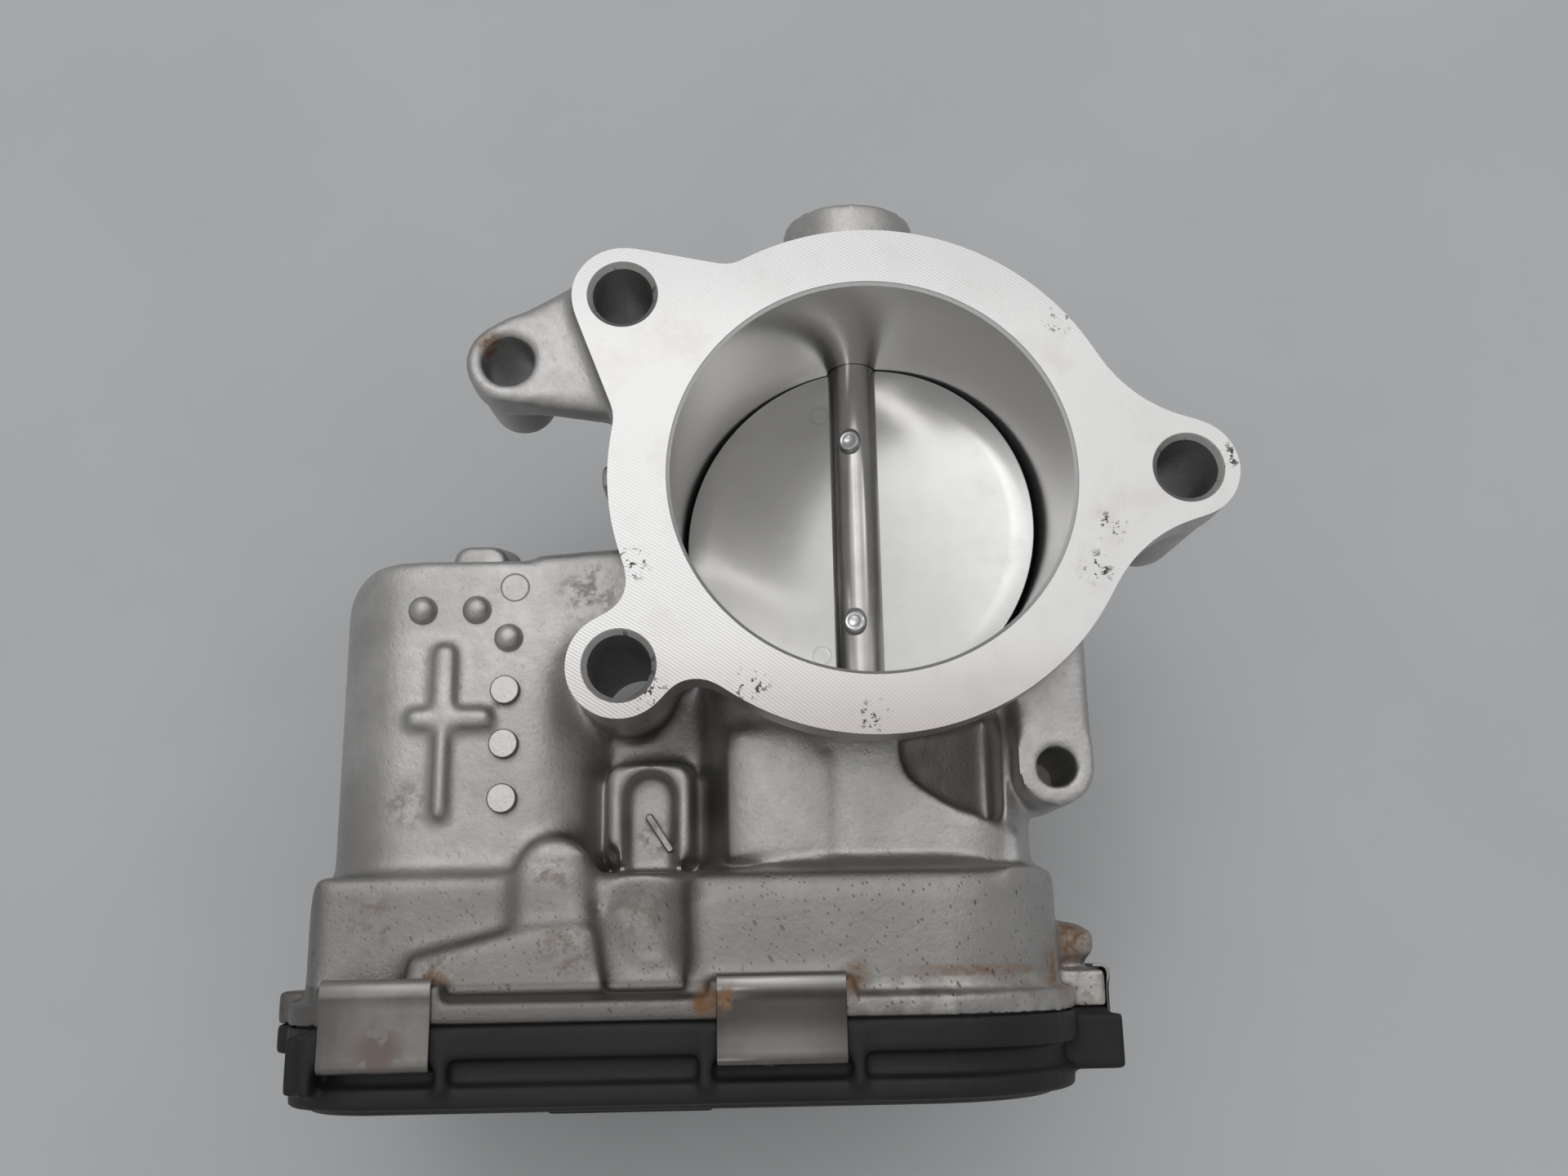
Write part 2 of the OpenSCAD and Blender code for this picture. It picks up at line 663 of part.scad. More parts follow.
// Walls of the cover on both sides of each clip
module clip_guards() {
    for (which = CLIPS, side = [-1, 1]) {
        depth = joint_lip + case_wall + clip_reach(which);
        outer = which == "end" ? 1.8 : 0.4;
        at_clip(which)
            translate([side * (clip_width(which) / 2 + 1.5) - 0.8, -joint_y - cover_joint_t - 4.4, -depth])
                cube([1.6, cover_joint_t + 3.4, depth + outer]);
    }
    // thick outer wall of the left clips
    for (which = ["top_left", "bottom_left"])
        at_clip(which)
            translate([-left_clip_w / 2 - 4.6, -joint_y - 8.4, -joint_lip - 13])
                cube([4, 7.4, joint_lip + 12]);
}

shroud_x = -38;
shroud_y = joint_y + shroud_t / 2 + 0.8;

module gear_cover() {
    lip_from = cover_face_y - 3.7;
    color(cover_black)
        difference() {
            union() {
                along_shaft(joint_y, joint_y + cover_joint_t)
                    case_outline(joint_lip);
                along_shaft(joint_y + 1, cover_face_y - 1.4)
                    case_outline(0);
                along_shaft(lip_from, cover_face_y - 0.8)
                    case_outline(joint_lip - 0.6);
                along_shaft(cover_face_y - 2, cover_face_y)
                    case_outline(-1.6);
                left_lug(joint_y, joint_y + 4);
                clip_lands(joint_y, joint_y + clip_seat_t);
                clip_guards();
                translate([shroud_x - shroud_w / 2, -shroud_y - shroud_t / 2, -duct_end])
                    cube([shroud_w, shroud_t, duct_end - axis_depth - case_in_r + 1]);
            }
            difference() {
                along_shaft(joint_y - 1, cover_floor_y)
                    case_outline(-cover_wall);
                bar(idler_x, -axis_depth, pin_r + 2, cover_floor_y - 3, cover_floor_y + 1);
            }
            bar(idler_x, -axis_depth, pin_r + pin_clearance, cover_floor_y - 4, cover_floor_y);
            // groove for the gasket
            along_shaft(joint_y - 1, joint_y + 1.4)
                difference() {
                    case_outline(1);
                    case_outline(-1);
                }
            // socket of the connector
            translate([shroud_x - shroud_w / 2 + shroud_wall, -shroud_y - shroud_t / 2 + shroud_wall, -duct_end - 1])
                cube([shroud_w - 2 * shroud_wall, shroud_t - 2 * shroud_wall, spigot_length - 2.5]);
            for (at = pin_places())
                translate([at.x - 0.35, at.y - 0.35, -duct_end + 4])
                    cube([0.7, 0.7, duct_end - axis_depth - case_in_r + 2]);
        }
}

function pin_places() =
    [for (row = [-1, 1], k = [0 : pins_per_row - 1])
        [shroud_x + (k - (pins_per_row - 1) / 2) * pin_pitch * 1.6, -shroud_y + row * pin_pitch / 2]];

module connector_pins() {
    color([0.80, 0.68, 0.35])
        for (at = pin_places())
            translate([at.x - 0.3, at.y - 0.3, -duct_end + 5])
                cube([0.6, 0.6, duct_end - 5 - axis_depth - case_in_r + 2]);
}

module cover_gasket() {
    color([0.15, 0.15, 0.16])
        along_shaft(joint_y, joint_y + 1.3)
            difference() {
                case_outline(0.8);
                case_outline(-0.8);
            }
}

// ---------------------------------------------------------------- shaft, plate and bearings

// Turns its children about the shaft by the plate's tilt, right side up
module tilted() {
    translate([0, 0, -axis_depth])
        rotate([0, -rest_tilt, 0])
            children();
}

module plate_screw_at(y) {
    translate([0, y, 0])
        children();
}

module throttle_shaft() {
    color(steel_grey)
        difference() {
            bar(0, -axis_depth, shaft_r, -needle_cup_y - needle_cup_l - 1, shaft_end_y);
            tilted() {
                translate([-shaft_r - 1, -plate_r - 0.4, -plate_t / 2 - plate_slot_gap])
                    cube([shaft_d + 2, 2 * plate_r + 0.8, plate_t + 2 * plate_slot_gap]);
                for (side = [-1, 1])
                    plate_screw_at(side * plate_screw_offset)
                        cylinder(d = plate_screw_d, h = shaft_d + 2, center = true, $fn = medium);
            }
        }
}

module throttle_plate() {
    color([0.70, 0.68, 0.66])
        tilted()
            difference() {
                translate([0, 0, -plate_t / 2])
                    cylinder(r = plate_r, h = plate_t, $fn = fine);
                for (side = [-1, 1])
                    plate_screw_at(side * plate_screw_offset)
                        cylinder(d = plate_screw_d, h = plate_t + 2, center = true, $fn = medium);
            }
}

module plate_screws() {
    color([0.78, 0.78, 0.76])
        tilted()
            for (side = [-1, 1])
                plate_screw_at(side * plate_screw_offset)
                    translate([0, 0, -shaft_r + 0.3])
                        difference() {
                            cylinder(d = plate_screw_d, h = shaft_d + 0.5, $fn = medium);
                            translate([0, 0, shaft_d])
                                cylinder(r = 0.8, h = 2, $fn = medium);
                        }
}

module needle_bearing_cup() {
    color(steel_grey)
        difference() {
            bar(0, -axis_depth, needle_cup_r, -needle_cup_y - needle_cup_l, -needle_cup_y);
            bar(0, -axis_depth, needle_cup_r - needle_cup_wall, -needle_cup_y - needle_cup_l + 0.8,
                -needle_cup_y - 0.8);
            bar(0, -axis_depth, shaft_r + 0.3, -needle_cup_y - needle_cup_l - 1, -needle_cup_y + 1);
        }
}

module bearing_needles() {
    pitch = shaft_r + needle_r + 0.04;
    color("silver")
        for (k = [0 : needle_count - 1])
            bar(pitch * cos(360 * k / needle_count), -axis_depth + pitch * sin(360 * k / needle_count),
                needle_r, -needle_cup_y - needle_cup_l + 1, -needle_cup_y - 1, 24);
}

module ball_bearing_outer() {
    color(steel_grey)
        tube(0, -axis_depth, ball_bearing_r, ball_bearing_r - ring_wall, case_floor_y - ball_bearing_w, case_floor_y);
}

module ball_bearing_inner() {
    color(steel_grey)
        tube(0, -axis_depth, shaft_r + ring_wall, shaft_r, case_floor_y - ball_bearing_w, case_floor_y);
}

module bearing_balls() {
    pitch = shaft_r + ring_wall + 0.07 + ball_r;
    color("silver")
        for (k = [0 : ball_count - 1])
            translate([pitch * cos(360 * k / ball_count), -case_floor_y + ball_bearing_w / 2,
                       -axis_depth + pitch * sin(360 * k / ball_count)])
                sphere(r = ball_r, $fn = 24);
}

module shaft_seals() {
    color([0.12, 0.12, 0.12]) {
        tube(0, -axis_depth, seal_r, shaft_r + 0.08, -far_seal_y - seal_w, -far_seal_y);
        tube(0, -axis_depth, seal_r, shaft_r + 0.08, near_seal_y, near_seal_y + seal_w);
    }
}

module end_plug() {
    color(steel_grey)
        bar(0, -axis_depth, far_plug_r, -far_boss_end + 0.2, -far_boss_end + plug_t);
}

// ---------------------------------------------------------------- throttle gear, sensor and spring

module throttle_gear() {
    first = floor(open_angle * sector_teeth / 360) + 2;
    last = floor(-closed_angle * sector_teeth / 360) + 2;
    pitch_angle = 360 / sector_teeth;
    color([0.82, 0.80, 0.72])
        translate([0, 0, -axis_depth])
            difference() {
                union() {
                    along_shaft(sector_back_y, sector_front_y)
                        union() {
                            polygon(concat([[0, 0]],
                                [for (k = [-first : last]) each tooth(sector_teeth, -small_shift, 180 + k * pitch_angle)]));
                            circle(r = hub_r + 2, $fn = medium);
                        }
                    bar(0, 0, hub_r, hub_back_y, sector_front_y);
                    bar(0, 0, nose_r, sector_front_y - 1, nose_end_y);
                    // lug that the spring turns
                    rotate([0, -spring_lug_angle, 0])
                        translate([coil_d / 2 - 1.6, -sector_back_y - 1, -1.4])
                            cube([3.2, 2.2, 2.8]);
                }
                bar(0, 0, insert_r, hub_back_y - 1, shaft_end_y + 1.6);
                bar(0, 0, magnet_r, nose_end_y - magnet_l, nose_end_y + 1);
            }
}

module gear_insert() {
    color(steel_grey)
        tube(0, -axis_depth, insert_r, shaft_r, hub_back_y, shaft_end_y);
}

module sensor_magnet() {
    color([0.28, 0.28, 0.30])
        bar(0, -axis_depth, magnet_r, nose_end_y - magnet_l, nose_end_y - 0.2);
}

// Bush between the spring's turns and the gear hub, standing on the case floor
module spring_bush() {
    color([0.25, 0.25, 0.24])
        tube(0, -axis_depth, coil_d / 2 - wire_d / 2 - 0.5, hub_r + 0.5, case_floor_y, case_floor_y + 7);
}

// Centre line of the return spring: leg, turns, leg
spring_rings = 24;
spring_y0 = case_floor_y + wire_d / 2 + 0.25;
function coil_point(t) =
    [coil_d / 2 * cos(360 * t), -(spring_y0 + coil_pitch * t), coil_d / 2 * sin(360 * t)];
function spring_path() = concat(
    [coil_point(0) + [0, 0, -7], coil_point(0) + [0, 0, -3.5]],
    [for (i = [0 : coil_turns * spring_rings]) coil_point(i / spring_rings)],
    [coil_point(coil_turns) + [0, 0, -3.5 * cos(360 * coil_turns)], coil_point(coil_turns) + [0, 0, -7 * cos(360 * coil_turns)]]);

function unit(v) = v / norm(v);
function heading(path, i) =
    unit(path[min(i + 1, len(path) - 1)] - path[max(i - 1, 0)]);

// Unbroken round tube of six-sided rings along a path
module swept_wire(path, r) {
    sides = 6;
    last = len(path) - 1;
    rings = [for (i = [0 : last])
        let (ahead = heading(path, i), out = unit(cross(ahead, [0, 1, 0])), up = cross(out, ahead))
            [for (s = [0 : sides - 1]) path[i] + r * (cos(360 * s / sides) * out + sin(360 * s / sides) * up)]];
    polyhedron(
        points = [for (ring = rings) each ring],
        faces = concat(
            [for (s = [1 : sides - 2]) [0, s, s + 1]],
            [for (s = [1 : sides - 2]) [last * sides, last * sides + s + 1, last * sides + s]],
            [for (i = [0 : last - 1], s = [0 : sides - 1])
                [i * sides + s, (i + 1) * sides + s, (i + 1) * sides + (s + 1) % sides]],
            [for (i = [0 : last - 1], s = [0 : sides - 1])
                [i * sides + s, (i + 1) * sides + (s + 1) % sides, i * sides + (s + 1) % sides]]));
}

// Least gap of the spring to itself, between points at least half a turn apart
function spring_gap() =
    let (p = spring_path(), n = len(p)) min([for (i = [0 : 3 : n - 1], j = [i + spring_rings / 2 : 1 : n - 1])
        norm(p[i] - p[j]) - wire_d]);

module return_spring() {
    echo(least_spring_gap = spring_gap());
    color([0.45, 0.45, 0.46])
        translate([0, 0, -axis_depth])
            swept_wire(spring_path(), wire_d / 2);
}

// ---------------------------------------------------------------- idler

module idler_gear() {
    color([0.86, 0.84, 0.76])
        translate([idler_x, 0, -axis_depth])
            difference() {
                union() {
                    // a gap of the small wheel faces the throttle gear's tooth at rest
                    along_shaft(sector_back_y - 0.5, wheel_back_y + 0.5)
                        gear_2d(small_teeth, small_shift, 180 / small_teeth);
                    along_shaft(wheel_back_y, wheel_front_y)
                        gear_2d(wheel_teeth, -pinion_shift, 180);
                    bar(0, 0, pin_r + 2.2, case_floor_y + 0.6, wheel_front_y + 0.6);
                }
                bar(0, 0, pin_r + pin_clearance, case_floor_y - 1, wheel_front_y + 2);
            }
}

module idler_pin() {
    color(steel_grey)
        bar(idler_x, -axis_depth, pin_r, case_back_y - 4, cover_floor_y - 0.2);
}

// ---------------------------------------------------------------- motor

module motor_can() {
    color(steel_grey)
        difference() {
            bar(motor_x, -axis_depth, motor_d / 2, motor_back_y, motor_front_y, fine);
            bar(motor_x, -axis_depth, motor_d / 2 - can_wall, motor_back_y + can_wall, motor_front_y + 1, fine);
            bar(motor_x, -axis_depth, motor_shaft_d / 2 + 0.05, motor_back_y - 1, motor_back_y + 2);
        }
}

module motor_magnets() {
    r_out = motor_d / 2 - can_wall;
    color([0.22, 0.22, 0.24])
        difference() {
            tube(motor_x, -axis_depth, r_out, r_out - 2, motor_back_y + 5, motor_front_y - 9, fine);
            translate([motor_x - 4, -motor_front_y, -axis_depth - motor_d])
                cube([8, motor_l, 2 * motor_d]);
        }
}

module motor_end_plate() {
    color([0.30, 0.30, 0.30])
        difference() {
            union() {
                bar(motor_x, -axis_depth, motor_d / 2 + 1.8, case_floor_y, case_floor_y + end_plate_t, fine);
                bar(motor_x, -axis_depth, motor_d / 2 - can_wall - fit_gap, motor_front_y - 4, case_floor_y + 1, fine);
                for (turn = [45, 225])
                    bar(motor_x + motor_screw_circle * cos(turn), -axis_depth + motor_screw_circle * sin(turn),
                        3.6, case_floor_y, case_floor_y + end_plate_t);
            }
            bar(motor_x, -axis_depth, motor_shaft_d / 2 + 0.05, motor_front_y - 6, case_floor_y + 5);
            bar(motor_x, -axis_depth, 6, motor_front_y - 6, motor_front_y - 2);
            for (turn = [45, 225])
                bar(motor_x + motor_screw_circle * cos(turn), -axis_depth + motor_screw_circle * sin(turn),
                    motor_screw_r, case_floor_y - 1, case_floor_y + 5);
            for (z = [-5.5, 5.5])
                translate([motor_x - 10.5, -case_floor_y - 6, -axis_depth + z - 1.6])
                    cube([1, 14, 3.2]);
        }
}

module motor_screws() {
    color(steel_grey)
        for (turn = [45, 225])
            translate([motor_x + motor_screw_circle * cos(turn), 0, -axis_depth + motor_screw_circle * sin(turn)])
                difference() {
                    union() {
                        bar(0, 0, motor_screw_r, case_floor_y - 8, case_floor_y + end_plate_t + 1);
                        bar(0, 0, 3.1, case_floor_y + end_plate_t, case_floor_y + end_plate_t + 2.4);
                    }
                    bar(0, 0, 1.3, case_floor_y + end_plate_t + 1, case_floor_y + end_plate_t + 3, 6);
                }
}

module motor_rotor() {
    slots = 5;
    color([0.55, 0.36, 0.24])
        translate([motor_x, 0, -axis_depth])
            difference() {
                union() {
                    bar(0, 0, rotor_r, motor_back_y + 6, motor_front_y - 10, fine);
                    bar(0, 0, 4.6, motor_front_y - 10, motor_front_y - 4.6);
                }
                bar(0, 0, motor_shaft_d / 2, motor_back_y, motor_front_y);
                for (k = [0 : slots - 1])
                    rotate([0, 360 * k / slots, 0])
                        translate([-0.9, -motor_front_y + 9, rotor_r - 5])
                            cube([1.8, motor_l - 14, 6]);
            }
}

module motor_shaft() {
    color(steel_grey)
        bar(motor_x, -axis_depth, motor_shaft_d / 2, motor_back_y - 0.5, wheel_front_y + 1.2);
}

module motor_pinion() {
    color([0.80, 0.66, 0.34])
        translate([motor_x, 0, -axis_depth])
            difference() {
                along_shaft(wheel_back_y - 0.8, wheel_front_y + 0.8)
                    gear_2d(pinion_teeth, pinion_shift, 180 / pinion_teeth);
                bar(0, 0, motor_shaft_d / 2, wheel_back_y - 2, wheel_front_y + 2);
            }
}

module motor_wave_spring() {
    color(steel_grey)
        tube(motor_x, -axis_depth, motor_d / 2 - 2, motor_d / 2 - 6, motor_end_y + 3.5, motor_back_y);
}

module motor_terminals() {
    color([0.80, 0.50, 0.30])
        for (z = [-5.5, 5.5])
            translate([motor_x - 10.4, -joint_y - 2, -axis_depth + z - 1.5])
                cube([0.8, joint_y + 2 - motor_front_y + 2, 3]);
}

// ---------------------------------------------------------------- sensor board and lead strips

module sensor_board() {
    color([0.10, 0.30, 0.18])
        along_shaft(cover_floor_y - 1.4, cover_floor_y)
            round_box_2d([-14, -axis_depth - 11], [13, -axis_depth + 11], 2);
}

module sensor_chip() {
    color([0.08, 0.08, 0.08])
        along_shaft(cover_floor_y - 3, cover_floor_y - 1.4)
            round_box_2d([-3.2, -axis_depth - 2.6], [3.2, -axis_depth + 2.6], 0.4);
}

module lead_strips() {
    color([0.80, 0.68, 0.35])
        for (k = [0 : 3])
            translate([-34 + 0.5 * k, -cover_floor_y, -axis_depth - 17.5 - 1.8 * k])
                cube([21 + 1.4 * k, 0.6, 0.9]);
}

housing();
gear_cover();
cover_gasket();
clip("top_left");  // clip_top_left
clip("top_right");  // clip_top_right
clip("end");  // clip_end
clip("bottom_left");  // clip_bottom_left
clip("bottom_right");  // clip_bottom_right
throttle_shaft();
throttle_plate();
plate_screws();
needle_bearing_cup();
bearing_needles();
ball_bearing_outer();
ball_bearing_inner();
bearing_balls();
shaft_seals();
end_plug();
throttle_gear();
gear_insert();
sensor_magnet();
return_spring();
spring_bush();
idler_gear();
idler_pin();
motor_can();
motor_magnets();
motor_end_plate();
motor_screws();
motor_rotor();
motor_shaft();
motor_pinion();
motor_wave_spring();
motor_terminals();
sensor_board();
sensor_chip();
connector_pins();
lead_strips();
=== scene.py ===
import json
import math
import bmesh
import bpy
import numpy as np
from mathutils import Matrix, Vector

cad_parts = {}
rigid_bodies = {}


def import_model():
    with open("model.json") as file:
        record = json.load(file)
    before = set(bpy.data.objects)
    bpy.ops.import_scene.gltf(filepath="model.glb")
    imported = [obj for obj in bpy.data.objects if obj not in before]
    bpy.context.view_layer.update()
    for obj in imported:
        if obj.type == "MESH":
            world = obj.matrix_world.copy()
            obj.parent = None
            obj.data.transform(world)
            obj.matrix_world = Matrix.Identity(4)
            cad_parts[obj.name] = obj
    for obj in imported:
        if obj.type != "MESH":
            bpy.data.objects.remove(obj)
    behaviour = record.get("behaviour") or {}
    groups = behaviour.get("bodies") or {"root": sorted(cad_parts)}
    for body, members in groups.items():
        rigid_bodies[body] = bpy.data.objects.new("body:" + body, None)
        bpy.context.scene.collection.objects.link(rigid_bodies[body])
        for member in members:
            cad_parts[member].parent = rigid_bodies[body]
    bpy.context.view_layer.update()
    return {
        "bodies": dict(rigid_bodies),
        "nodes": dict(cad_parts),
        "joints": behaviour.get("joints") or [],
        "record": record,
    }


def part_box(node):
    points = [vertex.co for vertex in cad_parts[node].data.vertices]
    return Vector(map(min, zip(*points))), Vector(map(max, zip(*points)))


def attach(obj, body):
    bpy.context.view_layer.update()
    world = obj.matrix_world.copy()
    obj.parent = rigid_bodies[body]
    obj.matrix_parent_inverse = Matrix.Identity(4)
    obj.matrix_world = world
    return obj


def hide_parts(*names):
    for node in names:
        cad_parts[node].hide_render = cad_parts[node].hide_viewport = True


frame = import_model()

# Electronic throttle body. Everything is in metres in the CAD frame: the bore
# runs along Z from the mounting face at z = 0, the shaft along Y, the cover at -Y.
# Settings of shapes are in millimetres and degrees, places of the camera and lamps in metres.
mm = 0.001
weld = 1e-7  # points nearer than this many metres are made one
bevel = 0.3  # the share of a small rounding where its middle point lies
axisDepth = 33.0  # of the shaft and the motor below the mounting face
scene = bpy.context.scene
scene.view_settings.view_transform = "Standard"

view = {
    "lens": 32.8125,
    "sensor": 36.0,
    "place": (-0.01718, -0.06505, 0.18978),
    "right": (0.99966, -0.01839, 0.01858),
    "down": (-0.01324, -0.96903, -0.24660),
    "forward": (0.02254, 0.24627, -0.96894),
    "nearest": 0.005,
}


def addCamera():
    lens = bpy.data.cameras.new("camera")
    lens.sensor_width = view["sensor"]
    lens.lens = view["lens"]
    lens.clip_start = view["nearest"]
    camera = bpy.data.objects.new("camera", lens)
    scene.collection.objects.link(camera)
    columns = (Vector(view["right"]), -Vector(view["down"]), -Vector(view["forward"]), Vector(view["place"]))
    camera.matrix_world = Matrix([[column[row] for column in columns] for row in range(3)] + [[0, 0, 0, 1]])
    scene.camera = camera


addCamera()
print("camera placed")


def operator(operation, swapped=False):  # a wire's method that puts it through a maths node
    def applied(wire, other):
        return wire.nodes.maths(operation, *((other, wire) if swapped else (wire, other)))
    return applied


class Wire:  # a socket that can stand in an arithmetic expression
    def __init__(self, nodes, socket):
        self.nodes = nodes
        self.socket = socket

    __add__, __radd__ = operator("ADD"), operator("ADD", swapped=True)
    __sub__, __rsub__ = operator("SUBTRACT"), operator("SUBTRACT", swapped=True)
    __mul__ = operator("MULTIPLY")
    __gt__, __lt__ = operator("GREATER_THAN"), operator("LESS_THAN")


class Nodes:  # a node tree whose new nodes all come from one method
    def __init__(self, tree):
        self.tree = tree

    def feed(self, socket, value):
        if isinstance(value, Wire):
            self.tree.links.new(value.socket, socket)
        else:
            socket.default_value = value

    def node(self, kind, settings=None, sockets=None, out=0):
        made = self.tree.nodes.new(kind)
        for name, value in (settings or {}).items():
            setattr(made, name, value)
        for name, value in (sockets or {}).items():
            self.feed(made.inputs[name], value)
        return Wire(self, made.outputs[out])

    def maths(self, operation, *values):
        return self.node("ShaderNodeMath", {"operation": operation}, dict(enumerate(values)))

    def ramp(self, value, low, high, bottom=0.0, top=1.0):  # bottom before low, top past high, smooth between
        return self.node("ShaderNodeMapRange", {"interpolation_type": "SMOOTHSTEP"},
                         {"Value": value, "From Min": low, "From Max": high, "To Min": bottom, "To Max": top})


class Look(Nodes):  # a Principled material, built up by expressions
    def __init__(self, name, metallic, roughness, **fixed):
        self.material = bpy.data.materials.new(name)
        self.material.use_nodes = True
        super().__init__(self.material.node_tree)
        self.shader = self.tree.nodes["Principled BSDF"]
        self.shader.inputs["Metallic"].default_value = metallic
        self.shader.inputs["Roughness"].default_value = roughness
        for socket, value in fixed.items():
            self.shader.inputs[socket.replace("_", " ")].default_value = value
        self.place = self.node("ShaderNodeTexCoord", out="Object")
        axes = [self.node("ShaderNodeSeparateXYZ", {}, {0: self.place}, out=axis) for axis in range(3)]
        self.x, self.y, self.z = axes

    def least(self, a, b):
        return self.maths("MINIMUM", a, b)

    def most(self, a, b):
        return self.maths("MAXIMUM", a, b)

    def along(self, length, start, full):  # 0 before the start and 1 past the full length, in millimetres
        return self.ramp(length, start * mm, full * mm)

    def noise(self, scale, detail=3.0, roughness=0.55, stretch=None):
        at = self.place
        if stretch:
            at = self.node("ShaderNodeMapping", {}, {"Vector": at, "Scale": stretch})
        return self.node("ShaderNodeTexNoise", {},
                         {"Vector": at, "Scale": scale, "Detail": detail, "Roughness": roughness})

    def specks(self, scale, stretch, size, share):
        # Small slanted dots over a share of the cells of a pattern: a cell's colour
        # chooses it, and the distance from its point gives the dot
        at = self.node("ShaderNodeMapping", {"vector_type": "TEXTURE"},
                       {"Vector": self.place, "Scale": stretch, "Rotation": (0, 0, 0.5)})
        cells = {"Vector": at, "Scale": scale}
        near = self.node("ShaderNodeTexVoronoi", {}, cells, out="Distance")
        pick = self.node("ShaderNodeTexVoronoi", {}, cells, out="Color")
        chosen = self.node("ShaderNodeSeparateColor", {}, {0: pick})
        return (1 - self.ramp(near, size * 0.5, size)) * self.ramp(chosen, 1 - share, 1.15 - share)

    def distance(self, centre, stretch=(1, 1, 1)):  # metres from a point in millimetres; axes may count less
        away = self.node("ShaderNodeVectorMath", {"operation": "SUBTRACT"},
                         {0: self.place, 1: [c * mm for c in centre]})
        scaled = self.node("ShaderNodeVectorMath", {"operation": "MULTIPLY"}, {0: away, 1: stretch})
        return self.node("ShaderNodeVectorMath", {"operation": "LENGTH"}, {0: scaled}, out="Value")

    def spot(self, centre, radius, stretch=(1, 1, 1)):  # 1 at the centre, fading to 0 at the radius
        return 1 - self.along(self.distance(centre, stretch), 0.25 * radius, radius)

    def spots(self, places, total=0.0):  # the sum of some spots and a total before them
        for centre, radius in places:
            total = self.spot(centre, radius) + total
        return total

    def rings(self, centres, radius, width, stretch):
        # Thin circles round some points: 1 on the circle, 0 from the width's end outwards
        ring = 0.0
        for centre in centres:
            off = self.maths("ABSOLUTE", self.distance(centre, stretch) - radius * mm)
            ring = self.most(ring, 1 - self.along(off, *width))
        return ring

    def blend(self, share, first, second):  # the first colour at a share of 0, the second at 1
        first, second = [tone if isinstance(tone, Wire) else (*tone, 1) for tone in (first, second)]
        return self.node("ShaderNodeMix", {"data_type": "RGBA"}, {0: share, 6: first, 7: second}, out=2)

    def layered(self, colour, *layers):  # a colour with others laid over it, each in its share
        for share, tone in layers:
            colour = self.blend(share, colour, tone)
        return colour

    def bump(self, height, distance, strength=1.0, under=None):
        sockets = {"Height": height, "Distance": distance * mm, "Strength": strength}
        if under:
            sockets["Normal"] = under
        return self.node("ShaderNodeBump", {}, sockets)

    def finish(self, **links):
        for name, value in links.items():
            self.feed(self.shader.inputs[name.replace("_", " ")], value)
        return self.material


